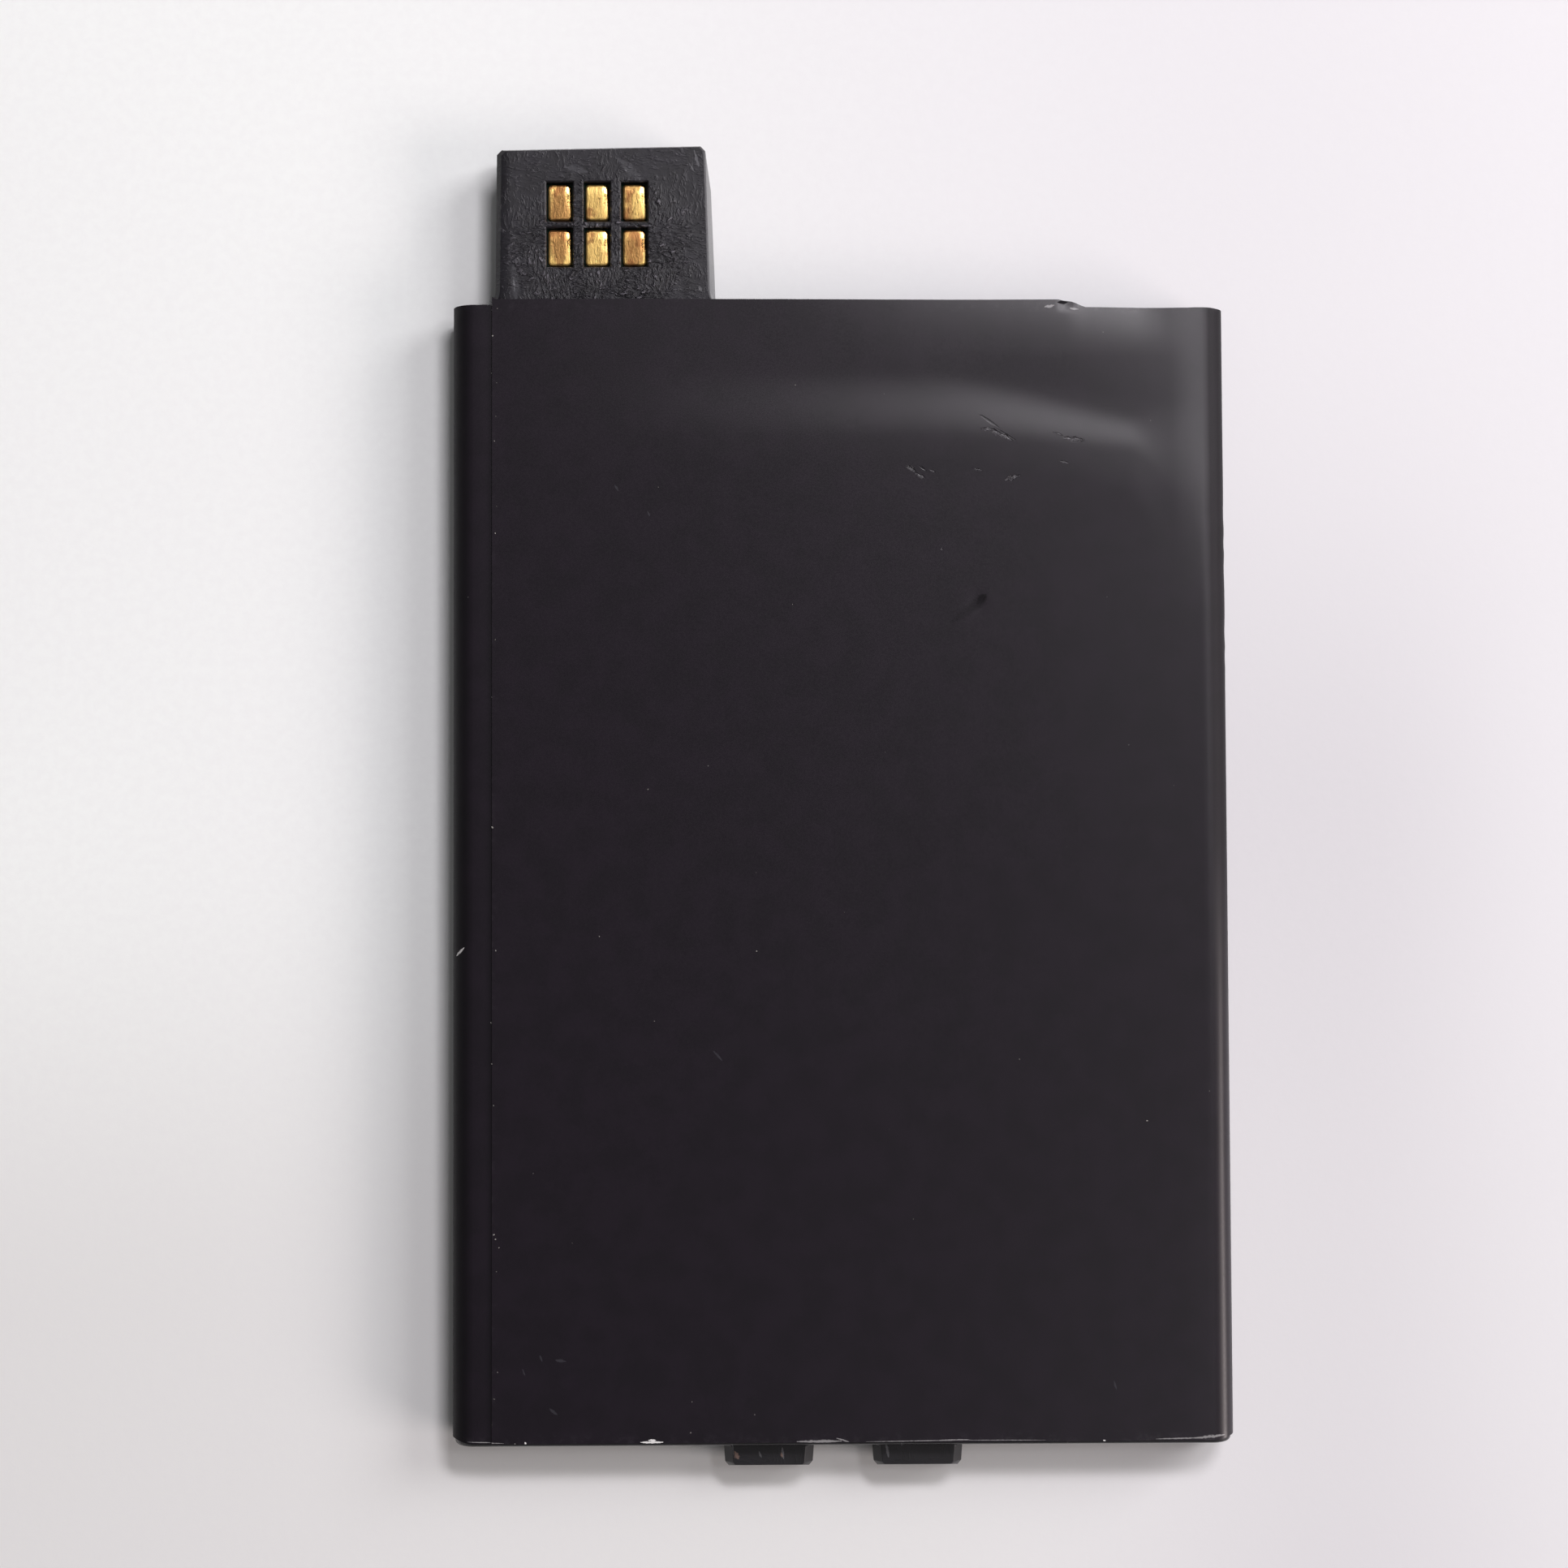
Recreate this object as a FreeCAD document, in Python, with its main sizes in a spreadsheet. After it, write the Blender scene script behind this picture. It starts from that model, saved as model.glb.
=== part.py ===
import FreeCAD, Part
import os
import re

import Sketcher

# Film-wrapped flat battery pack with a contact tab and two locating feet. Millimetres.
# X runs across the pack, Y towards the contact tab, Z from the back face to the front face.
# The origin is the middle of the back face.

sizes = {
    # whole pack, measured over the film
    "pack_width": 64.0,
    "pack_length": 93.4,
    "pack_thick": 4.6,
    "edge_radius": 1.9,
    # film sheet and its lapped seam on the front
    "film_thick": 0.15,
    "glue_gap": 0.05,
    "film_fit": 0.05,
    "film_lip": 0.1,
    "film_short": 0.35,
    "seam_inset": 3.4,
    "seam_overlap": 3.0,
    "tongue_reach": 0.65,
    "tongue_width": 47.6,
    "tongue_slope": 1.4,
    # fall of the film between the cell's shoulder and the end cap
    "sag_start": 12.2,
    "sag_end": 5.5,
    "sag_depth": 0.35,
    "rim_start": 4.4,
    "rim_fall": 0.3,
    "sag_margin": 0.2,
    "sag_fade_left": 28.0,
    "sag_fade_right": 6.0,
    # connector housing
    "arm_reach": 7.4,
    "arm_width": 1.5,
    "end_wall": 1.3,
    "ledge_depth": 2.0,
    "tab_inset": 3.67,
    "tab_width": 17.33,
    "tab_length": 13.7,
    "tab_face_drop": 0.9,
    "tab_lift": 0.4,
    "tab_flare_left": 0.1,
    "tab_flare_right": 0.4,
    "tab_taper_left": 0.1,
    "tab_taper_right": 0.35,
    "tab_lead": 3.0,
    "tab_tip_slope": 0.3,
    "tab_corner": 0.4,
    "tab_wall": 1.2,
    "tab_face_wall": 0.85,
    "tab_root_radius": 1.8,
    "tab_edge": 0.15,
    "tab_edge_left": 0.4,
    "tab_edge_depth": 0.3,
    # contact windows and contacts
    "window_width": 2.2,
    "window_height": 3.3,
    "window_pitch": 3.1,
    "window_row_pitch": 3.8,
    "window_shift": 0.335,
    "window_reach": 7.1,
    "window_chamfer": 0.12,
    "contact_gap": 0.12,
    "contact_recess": 0.3,
    "contact_corner": 0.35,
    "contact_round": 0.22,
    # board and the plate behind it
    "board_thick": 0.8,
    "board_gap": 0.05,
    "board_side_gap": 0.2,
    "strip_depth": 4.6,
    "cover_thick": 0.7,
    "cover_gap": 0.1,
    "rib_width": 1.0,
    # cell
    "cell_gap": 0.1,
    "cell_end_gap": 0.3,
    "fold_thick": 0.3,
    "fold_height": 1.0,
    "fold_trim": 3.0,
    "shoulder_run": 3.0,
    "shoulder_fall": 1.6,
    "terrace_inset": 3.0,
    "terrace_thick": 0.3,
    "terrace_gap": 0.6,
    # cell leads and the foam under the board
    "lead_width": 4.0,
    "lead_thick": 0.12,
    "lead_reach": 0.35,
    "lead_return": 2.0,
    "lead_inset": 3.0,
    "foam_gap": 1.0,
    "foam_depth": 1.8,
    # parts on the board
    "part_gap": 1.0,
    "switch_length": 3.0,
    "switch_width": 4.4,
    "switch_height": 0.75,
    "switch_pitch": 0.65,
    "guard_length": 2.9,
    "guard_width": 1.6,
    "guard_height": 0.7,
    "guard_pitch": 0.95,
    "gauge_length": 3.0,
    "gauge_width": 2.0,
    "gauge_height": 0.7,
    "gauge_pitch": 0.65,
    "pin_width": 0.3,
    "pin_reach": 0.7,
    "pin_thick": 0.15,
    "pin_bite": 0.2,
    "chip_chamfer": 0.15,
    "resistor_length": 3.2,
    "resistor_width": 1.6,
    "resistor_height": 0.55,
    "capacitor_length": 1.6,
    "capacitor_width": 0.8,
    "capacitor_height": 0.7,
    "capacitor_pitch": 1.8,
    "thermistor_length": 1.0,
    "thermistor_width": 0.5,
    "thermistor_height": 0.5,
    "terminal_length": 0.25,
    "terminal_skin": 0.03,
    # foot rail and its tape
    "rail_depth": 1.5,
    "rail_round": 0.4,
    "foot_pitch": 12.2,
    "foot_width": 5.5,
    "foot_flare": 0.85,
    "foot_tip_flare": 0.75,
    "foot_top_flare": 0.35,
    "foot_taper": 0.1,
    "foot_reach": 2.0,
    "foot_face_drop": 1.6,
    "foot_lift": 0.7,
    "foot_lead": 0.35,
    "foot_corner": 0.2,
    "foot_root_radius": 0.3,
    "foot_edge": 0.2,
    "foot_side_drop": 0.8,
    "tape_thick": 0.2,
    "tape_inset": 2.2,
    # how far a cutting outline passes the material that it cuts
    "cut_margin": 1.0,
}

# Places that follow from the sizes, in the order in which they are worked out.
places = {
    "half_width": "pack_width / 2",
    "half_length": "pack_length / 2",
    "edge_round": "min(edge_radius; pack_thick / 2 - 1.5 * film_thick - glue_gap)",
    "strip_front": "pack_thick - film_thick - glue_gap",
    "seam_x": "-half_width + seam_inset",
    "cap_half": "half_width - film_thick - film_fit",
    "cap_back": "film_thick + film_fit",
    "cap_front": "strip_front - film_thick - film_fit",
    "cap_round": "edge_round - film_thick - film_fit",
    "cap_end": "half_length - film_lip",
    "sag_left": "seam_x + seam_overlap + sag_margin",
    "sag_right": "half_width - edge_round",
    "wall_left": "sag_left + sag_fade_left / 2",
    "wall_right": "sag_right - sag_fade_right / 2",
    "wall_rise": "sag_right - sag_fade_right / 10",
    "wall_top": "pack_thick - film_thick - sag_depth - rim_fall - film_fit",
    "wall_inner": "cap_end - end_wall",
    "wall_middle": "cap_end - end_wall / 2",
    "ledge_start": "wall_inner - ledge_depth",
    "arm_start": "cap_end - arm_reach",
    "arm_inner": "cap_half - arm_width",
    "tab_left": "-half_width + tab_inset",
    "tab_right": "tab_left + tab_width",
    "tab_tip": "half_length + tab_length",
    "tab_front": "pack_thick - tab_face_drop",
    "cavity_left": "tab_left + tab_wall",
    "cavity_right": "tab_right - tab_wall",
    "cavity_tip": "tab_tip - tab_wall",
    "cavity_front": "tab_front - tab_face_wall",
    "window_x": "tab_left + tab_width / 2 - window_shift",
    "window_y": "half_length + window_reach",
    "board_front": "cavity_front - board_gap",
    "board_back": "board_front - board_thick",
    "board_left": "cavity_left + board_side_gap",
    "board_right": "cavity_right - board_side_gap",
    "board_tip": "cavity_tip - board_side_gap",
    "strip_end": "wall_inner - board_side_gap",
    "strip_start": "strip_end - strip_depth",
    "strip_middle": "strip_end - strip_depth / 2",
    "gauge_x": "(board_left + board_right) / 2",
    "switch_x": "board_right + part_gap + switch_width / 2 + pin_reach",
    "guard_x": "switch_x + switch_width / 2 + pin_reach + part_gap + guard_length / 2",
    "resistor_x": "guard_x + guard_length / 2 + part_gap + resistor_length / 2",
    "capacitor_x": "resistor_x + resistor_length / 2 + part_gap + capacitor_length / 2",
    "thermistor_x": "capacitor_x + capacitor_length / 2 + part_gap + thermistor_length / 2",
    "strip_right": "thermistor_x + thermistor_length / 2 + part_gap",
    "contact_width": "window_width - 2 * contact_gap",
    "contact_height": "window_height - 2 * contact_gap",
    "contact_rise": "tab_front - contact_recess - board_front",
    "cell_half": "half_width - film_thick - cell_gap - fold_thick",
    "cell_back": "film_thick + cell_gap",
    "cell_front": "strip_front - film_thick - cell_gap",
    "cell_middle": "(cell_back + cell_front) / 2",
    "cell_round": "edge_round - film_thick - cell_gap",
    "cell_start": "-half_length + rail_depth + tape_thick",
    "cell_end": "arm_start - cell_end_gap",
    "terrace_half": "arm_inner - terrace_inset",
    "terrace_end": "ledge_start - terrace_gap",
    "terrace_front": "cell_back + terrace_thick",
    "lead_low": "cell_back + terrace_thick / 2 - lead_thick / 2",
    "lead_minus_x": "board_right + lead_inset + lead_width / 2",
    "lead_plus_x": "strip_right - lead_inset - lead_width / 2",
    "rail_start": "-half_length + rail_depth",
    "foot_tip": "-half_length - foot_reach",
    "foot_front": "pack_thick - foot_face_drop",
}

document = FreeCAD.newDocument("battery_pack")

sheet = document.addObject("Spreadsheet::Sheet", "Sizes")
for row, (alias, number) in enumerate(sizes.items(), start=1):
    sheet.set(f"A{row}", alias)
    sheet.set(f"B{row}", str(number))
    sheet.setAlias(f"B{row}", alias)

derived = document.addObject("App::VarSet", "Places")
document.recompute()


def formula(text):
    # writes the names of sizes and places the way an expression needs them
    def full_name(match):
        word = match.group(0)
        if word in sizes:
            return "Sizes." + word
        if word in places:
            return "Places." + word
        return word
    return re.sub(r"[a-z][a-z0-9_]*", full_name, text)


for place, text in places.items():
    derived.addProperty("App::PropertyFloat", place, "Places")
    derived.setExpression(place, formula(text))
document.recompute()


def number_of(text):
    return float(derived.evalExpression(formula(text)))


def near(first, second):
    return abs(first - second) < 1e-4


def new_body(label):
    body = document.addObject("PartDesign::Body", label)
    body.Label = label
    return body


def origin_item(body, role):
    return next(item for item in body.Origin.OriginFeatures if item.Role == role)


def draw(sketch, corners):
    # a closed outline, each corner held at its distances from the origin
    # a corner with a third entry starts an arc: the arc's middle point and its radius
    first = sketch.GeometryCount
    count = len(corners)
    spots = [FreeCAD.Vector(number_of(corner[0]), number_of(corner[1]), 0) for corner in corners]
    for step, corner in enumerate(corners):
        begin, finish = spots[step], spots[(step + 1) % count]
        if len(corner) == 2:
            sketch.addGeometry(Part.LineSegment(begin, finish), False)
            continue
        middle = FreeCAD.Vector(number_of(corner[2][0]), number_of(corner[2][1]), 0)
        outward = ((begin - middle) + (finish - middle)).normalize() * (begin - middle).Length
        sketch.addGeometry(Part.Arc(begin, middle + outward, finish), False)
    start_of = [end_of_line(sketch, first + step, spots[step]) for step in range(count)]
    for step in range(count):
        following = (step + 1) % count
        sketch.addConstraint(Sketcher.Constraint("Coincident", first + step, 3 - start_of[step],
                                                 first + following, start_of[following]))
    for step, corner in enumerate(corners):
        spot, end = spots[step], start_of[step]
        for kind, text, value in (("DistanceX", corner[0], spot.x), ("DistanceY", corner[1], spot.y)):
            index = sketch.addConstraint(Sketcher.Constraint(kind, -1, 1, first + step, end, value))
            title = f"{kind[-1].lower()}_{first + step}"
            sketch.renameConstraint(index, title)
            sketch.setExpression("Constraints." + title, formula(text))
        if len(corner) == 3:
            radius = corner[2][2]
            index = sketch.addConstraint(Sketcher.Constraint("Radius", first + step, number_of(radius)))
            sketch.renameConstraint(index, f"r_{first + step}")
            sketch.setExpression(f"Constraints.r_{first + step}", formula(radius))


def end_of_line(sketch, index, spot):
    # an arc in a sketch runs anticlockwise, so its start can lie at either end of the drawn stretch
    shape = sketch.Geometry[index]
    return 1 if (shape.StartPoint - spot).Length < (shape.EndPoint - spot).Length else 2


def new_sketch(body, title, role, offset, outlines):
    sketch = body.newObject("Sketcher::SketchObject", title)
    sketch.AttachmentSupport = [(origin_item(body, role), "")]
    sketch.MapMode = "FlatFace"
    sketch.setExpression("AttachmentOffset.Base.z", formula(offset))
    for corners in outlines:
        draw(sketch, corners)
    return sketch


def rectangle(left, right, low, high):
    return [(left, low), (right, low), (right, high), (left, high)]


def pad(body, title, role, offset, outlines, length):
    feature = body.newObject("PartDesign::Pad", title)
    feature.Profile = new_sketch(body, title + "_sketch", role, offset, outlines)
    feature.setExpression("Length", formula(length))
    document.recompute()
    return feature


def pocket(body, title, role, offset, outlines, length=None):
    feature = body.newObject("PartDesign::Pocket", title)
    feature.Profile = new_sketch(body, title + "_sketch", role, offset, outlines)
    if length is None:
        feature.Type = "ThroughAll"
    else:
        feature.setExpression("Length", formula(length))
    document.recompute()
    return feature


def loft(body, title, role, levels):
    # straight surfaces from each level's outline to the next: a level is an offset and an outline
    sketches = [new_sketch(body, f"{title}_level_{index}", role, offset, [outline])
                for index, (offset, outline) in enumerate(levels, start=1)]
    feature = body.newObject("PartDesign::AdditiveLoft", title)
    feature.Profile = sketches[0]
    feature.Sections = sketches[1:]
    feature.Ruled = True
    document.recompute()
    return feature


def dress(body, kind, title, size, chosen):
    # a fillet or chamfer on those edges of the body so far that pass the test
    base = body.Tip
    edges = [f"Edge{index}" for index, edge in enumerate(base.Shape.Edges, start=1) if chosen(edge)]
    feature = body.newObject("PartDesign::" + kind, title)
    feature.Base = (base, edges)
    feature.setExpression("Radius" if kind == "Fillet" else "Size", formula(size))
    document.recompute()
    return feature


def ends(edge):
    return [vertex.Point for vertex in edge.Vertexes]


def all_at(edge, axis, text):
    return all(near(getattr(point, axis), number_of(text)) for point in ends(edge))


def runs_along(edge, axis):
    points = ends(edge)
    others = [name for name in "xyz" if name != axis]
    same = [near(getattr(points[0], name), getattr(points[-1], name)) for name in others]
    return len(points) == 2 and all(same)


def place_body(body, across, along, up):
    for axis, text in (("x", across), ("y", along), ("z", up)):
        body.setExpression("Placement.Base." + axis, formula(text))


def round_long_edges(body, title, half, radius):
    def on_side(edge):
        return runs_along(edge, "y") and near(abs(ends(edge)[0].x), number_of(half))
    dress(body, "Fillet", title, radius, on_side)


def nose(sides, ends_at, toward, flares, tapers, tip_flares, lead, slope, corner, radius):
    # plan outline of a drafted tongue on an end wall, with rounded root and tip corners cut back as a lead-in
    left, right = sides
    root, wall, tip = ends_at
    shoulder = f"{tip} - ({toward}) * ({lead})"
    back = f"({toward}) * {slope}"
    rise = f"{wall} + ({toward}) * {radius}"
    low, high = f"{left} - {flares[0]} - {tapers[0]}", f"{right} + {flares[1]} + {tapers[1]}"
    return [
        (f"{low} - {radius}", root),
        (f"{low} - {radius}", wall, (f"{low} - {radius}", rise, radius)),
        (low, rise),
        (f"{left} - {flares[0]}", f"{shoulder} - {back}"),
        (f"{left} - {tip_flares[0]} + {corner}", f"{tip} - {back}"),
        (f"{right} + {tip_flares[1]} - {corner}", tip),
        (f"{right} + {flares[1]}", shoulder),
        (high, rise, (f"{high} + {radius}", rise, radius)),
        (f"{high} + {radius}", wall),
        (f"{high} + {radius}", root),
    ]


def smooth_step(share):
    share = min(max(share, 0.0), 1.0)
    return share * share * (3.0 - 2.0 * share)


def make_connector_housing():
    body = new_body("connector_housing")
    section = [
        ("-cap_half", "cap_back"),
        ("cap_half", "cap_back"),
        ("cap_half", "cap_front"),
        ("wall_rise", "cap_front"),
        ("wall_right", "wall_top"),
        ("wall_left", "wall_top"),
        ("sag_left", "cap_front"),
        ("-cap_half", "cap_front"),
    ]
    pad(body, "end_bar", "XZ_Plane", "-cap_end", [section], "arm_reach")
    round_long_edges(body, "end_bar_round", "cap_half", "cap_round")
    tray = rectangle("-arm_inner", "arm_inner", "arm_start - cut_margin", "ledge_start")
    pocket(body, "terrace_space", "XY_Plane", "pack_thick", [tray])
    shelf = rectangle("-arm_inner", "arm_inner", "ledge_start - cut_margin", "wall_inner")
    pocket(body, "board_space", "XY_Plane", "pack_thick", [shelf], "pack_thick - board_back")

    none = ("0", "0")

    def tab_outline(trims, flares, lead):
        sides = f"tab_left + {trims[0]}", f"tab_right - {trims[1]}"
        return nose(sides, ("wall_middle", "cap_end", f"tab_tip - {trims[1]}"), "1", flares,
                    ("tab_taper_left", "tab_taper_right"), none, lead, "tab_tip_slope", "tab_corner",
                    "tab_root_radius")
    loft(body, "contact_tab", "XY_Plane", [
        ("tab_lift", tab_outline(none, ("tab_flare_left", "tab_flare_right"), "tab_lead")),
        ("tab_front - tab_edge_depth", tab_outline(none, none, "tab_corner")),
        ("tab_front", tab_outline(("tab_edge_left", "tab_edge"), none, "tab_corner")),
    ])

    cavity = rectangle("cavity_left", "cavity_right", "ledge_start - cut_margin", "cavity_tip")
    pocket(body, "tab_cavity", "XY_Plane", "cavity_front", [cavity])
    windows = []
    for row in (-0.5, 0.5):
        for column in (-1, 0, 1):
            middle_x = f"window_x + ({column}) * window_pitch"
            middle_y = f"window_y + ({row}) * window_row_pitch"
            windows.append(rectangle(f"{middle_x} - window_width / 2", f"{middle_x} + window_width / 2",
                                     f"{middle_y} - window_height / 2", f"{middle_y} + window_height / 2"))
    pocket(body, "windows", "XY_Plane", "tab_front + cut_margin", windows,
           "cut_margin + tab_face_wall + board_gap")

    def window_rim(edge):
        inside = all(abs(point.x - number_of("window_x")) < number_of("1.5 * window_pitch")
                     and abs(point.y - number_of("window_y")) < number_of("window_row_pitch")
                     for point in ends(edge))
        return inside and all_at(edge, "z", "tab_front")
    dress(body, "Chamfer", "window_rims", "window_chamfer", window_rim)
    return body


def make_back_cover():
    body = new_body("connector_back_cover")
    left, right = "cavity_left + cover_gap", "cavity_right - cover_gap"
    tip = "cavity_tip - cover_gap"
    pad(body, "plate", "XY_Plane", "tab_lift", [rectangle(left, right, "ledge_start", tip)], "cover_thick")
    ribs = [
        rectangle("board_left", "board_left + rib_width", "ledge_start", tip),
        rectangle("window_x - rib_width / 2", "window_x + rib_width / 2", "ledge_start", tip),
        rectangle("board_right - rib_width", "board_right", "ledge_start", tip),
    ]
    pad(body, "ribs", "XY_Plane", "tab_lift", ribs, "board_back - tab_lift")
    return body


def make_circuit_board():
    body = new_body("circuit_board")
    outline = [
        ("board_left", "strip_start"),
        ("strip_right", "strip_start"),
        ("strip_right", "strip_end"),
        ("board_right", "strip_end"),
        ("board_right", "board_tip"),
        ("board_left", "board_tip"),
    ]
    pad(body, "laminate", "XY_Plane", "board_back", [outline], "board_thick")
    return body


def make_contact(label, column, row):
    body = new_body(label)
    outline = rectangle("-contact_width / 2", "contact_width / 2",
                        "-contact_height / 2", "contact_height / 2")
    pad(body, "blade", "XY_Plane", "0", [outline], "contact_rise")
    dress(body, "Fillet", "corners", "contact_corner", lambda edge: runs_along(edge, "z"))
    dress(body, "Fillet", "rolled_edge", "contact_round", lambda edge: all_at(edge, "z", "contact_rise"))
    place_body(body, f"window_x + ({column}) * window_pitch", f"window_y + ({row}) * window_row_pitch",
               "board_front")
    return body


def make_leaded_chip(label, name, pins, across, quarter_turn):
    # a moulded package with a row of flat pins along each long side
    body = new_body(label)
    outline = rectangle(f"-{name}_length / 2", f"{name}_length / 2",
                        f"-{name}_width / 2", f"{name}_width / 2")
    pad(body, "package", "XY_Plane", "0", [outline], f"{name}_height")
    dress(body, "Chamfer", "package_edge", "chip_chamfer", lambda edge: all_at(edge, "z", f"{name}_height"))
    first = f"-({pins} - 1) * {name}_pitch / 2"
    left, right = f"{first} - pin_width / 2", f"{first} + pin_width / 2"
    pair = [
        rectangle(left, right, f"{name}_width / 2 - pin_bite", f"{name}_width / 2 + pin_reach"),
        rectangle(left, right, f"-{name}_width / 2 - pin_reach", f"-{name}_width / 2 + pin_bite"),
    ]
    first_pins = pad(body, "first_pins", "XY_Plane", "0", pair, "pin_thick")
    row = body.newObject("PartDesign::LinearPattern", "pin_row")
    row.Originals = [first_pins]
    row.Direction = (origin_item(body, "X_Axis"), [""])
    row.setExpression("Length", formula(f"({pins} - 1) * {name}_pitch"))
    row.Occurrences = pins
    body.Tip = row
    document.recompute()
    if quarter_turn:
        body.Placement.Rotation = FreeCAD.Rotation(FreeCAD.Vector(0, 0, 1), 90)
    place_body(body, across, "strip_middle", "board_front")
    return body


def make_chip_part(label, name, across, along):
    # a small block with a slightly proud metal terminal at each end
    body = new_body(label)
    half_length, half_width = f"{name}_length / 2", f"{name}_width / 2"
    core = rectangle(f"-{half_length}", half_length, f"-{half_width} + terminal_skin",
                     f"{half_width} - terminal_skin")
    pad(body, "core", "XY_Plane", "0", [core], f"{name}_height - terminal_skin")
    terminals = [
        rectangle(f"-{half_length}", f"-{half_length} + terminal_length", f"-{half_width}", half_width),
        rectangle(f"{half_length} - terminal_length", half_length, f"-{half_width}", half_width),
    ]
    pad(body, "terminals", "XY_Plane", "0", terminals, f"{name}_height")
    place_body(body, across, along, "board_front")
    return body


def make_pouch_cell():
    body = new_body("pouch_cell")
    cup = rectangle("-cell_half", "cell_half", "cell_start", "cell_end")
    pad(body, "cup", "XY_Plane", "cell_back", [cup], "cell_front - cell_back")
    round_long_edges(body, "cup_round", "cell_half", "cell_round")
    shoulder = [
        ("cell_end - shoulder_run", "cell_front"),
        ("cell_end", "cell_front - shoulder_fall"),
        ("cell_end + cut_margin", "cell_front - shoulder_fall"),
        ("cell_end + cut_margin", "cell_front + cut_margin"),
        ("cell_end - shoulder_run", "cell_front + cut_margin"),
    ]
    pocket(body, "shoulder", "YZ_Plane", "half_width", [shoulder])
    folds = [
        rectangle("-cell_half - fold_thick", "-cell_half + fold_thick",
                  "cell_start + fold_trim", "cell_end - fold_trim"),
        rectangle("cell_half - fold_thick", "cell_half + fold_thick",
                  "cell_start + fold_trim", "cell_end - fold_trim"),
    ]
    pad(body, "folded_seals", "XY_Plane", "cell_middle - fold_height / 2", folds, "fold_height")
    terrace = rectangle("-terrace_half", "terrace_half", "cell_end - cut_margin", "terrace_end")
    pad(body, "terrace", "XY_Plane", "cell_back", [terrace], "terrace_thick")
    return body


def make_lead(label, middle):
    # a strip that leaves the end of the terrace, turns up and folds back under the board
    body = new_body(label)
    outer, back = "terrace_end + lead_reach", "terrace_end - lead_return"
    profile = [
        ("terrace_end", "lead_low"),
        (outer, "lead_low"),
        (outer, "board_back"),
        (back, "board_back"),
        (back, "board_back - lead_thick"),
        (f"{outer} - lead_thick", "board_back - lead_thick"),
        (f"{outer} - lead_thick", "lead_low + lead_thick"),
        ("terrace_end", "lead_low + lead_thick"),
    ]
    pad(body, "strip", "YZ_Plane", f"{middle} - lead_width / 2", [profile], "lead_width")
    return body


def make_board_foam():
    body = new_body("board_foam")
    block = rectangle("lead_minus_x + lead_width / 2 + foam_gap", "lead_plus_x - lead_width / 2 - foam_gap",
                      "terrace_end - foam_depth", "terrace_end")
    pad(body, "block", "XY_Plane", "terrace_front", [block], "board_back - terrace_front")
    return body


def make_foot_rail():
    body = new_body("foot_rail")
    section = rectangle("-cap_half", "cap_half", "cap_back", "cap_front")
    pad(body, "rail", "XZ_Plane", "-rail_start", [section], "rail_depth")
    round_long_edges(body, "rail_sides", "cap_half", "cap_round")
    dress(body, "Fillet", "rail_end", "rail_round", lambda edge: all_at(edge, "y", "-half_length"))
    root = "-half_length + rail_depth / 2"

    def foot_outline(trim, flare, tip_flare, lead):
        sides = f"foot_pitch / 2 - foot_width / 2 + {trim}", f"foot_pitch / 2 + foot_width / 2 - {trim}"
        return nose(sides, (root, "-half_length", f"foot_tip + {trim}"), "-1", (flare, flare),
                    ("foot_taper", "foot_taper"), (tip_flare, tip_flare), lead, "0", "foot_corner",
                    "foot_root_radius")
    foot = loft(body, "foot", "XY_Plane", [
        ("foot_lift", foot_outline("0", "foot_flare", "foot_tip_flare", "foot_lead")),
        ("foot_front - foot_side_drop", foot_outline("0", "foot_flare", "foot_tip_flare", "foot_lead")),
        ("foot_front", foot_outline("foot_edge", "foot_top_flare", "foot_top_flare", "foot_corner")),
    ])
    pair = body.newObject("PartDesign::Mirrored", "feet")
    pair.Originals = [foot]
    pair.MirrorPlane = (origin_item(body, "YZ_Plane"), [""])
    body.Tip = pair
    document.recompute()
    return body


def make_foot_tape():
    body = new_body("foot_tape")
    outline = rectangle("-cell_half + tape_inset", "cell_half - tape_inset",
                        "cell_back + cell_round / 2", "cell_front - cell_round / 2")
    pad(body, "strip", "XZ_Plane", "-cell_start", [outline], "tape_thick")
    return body


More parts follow.
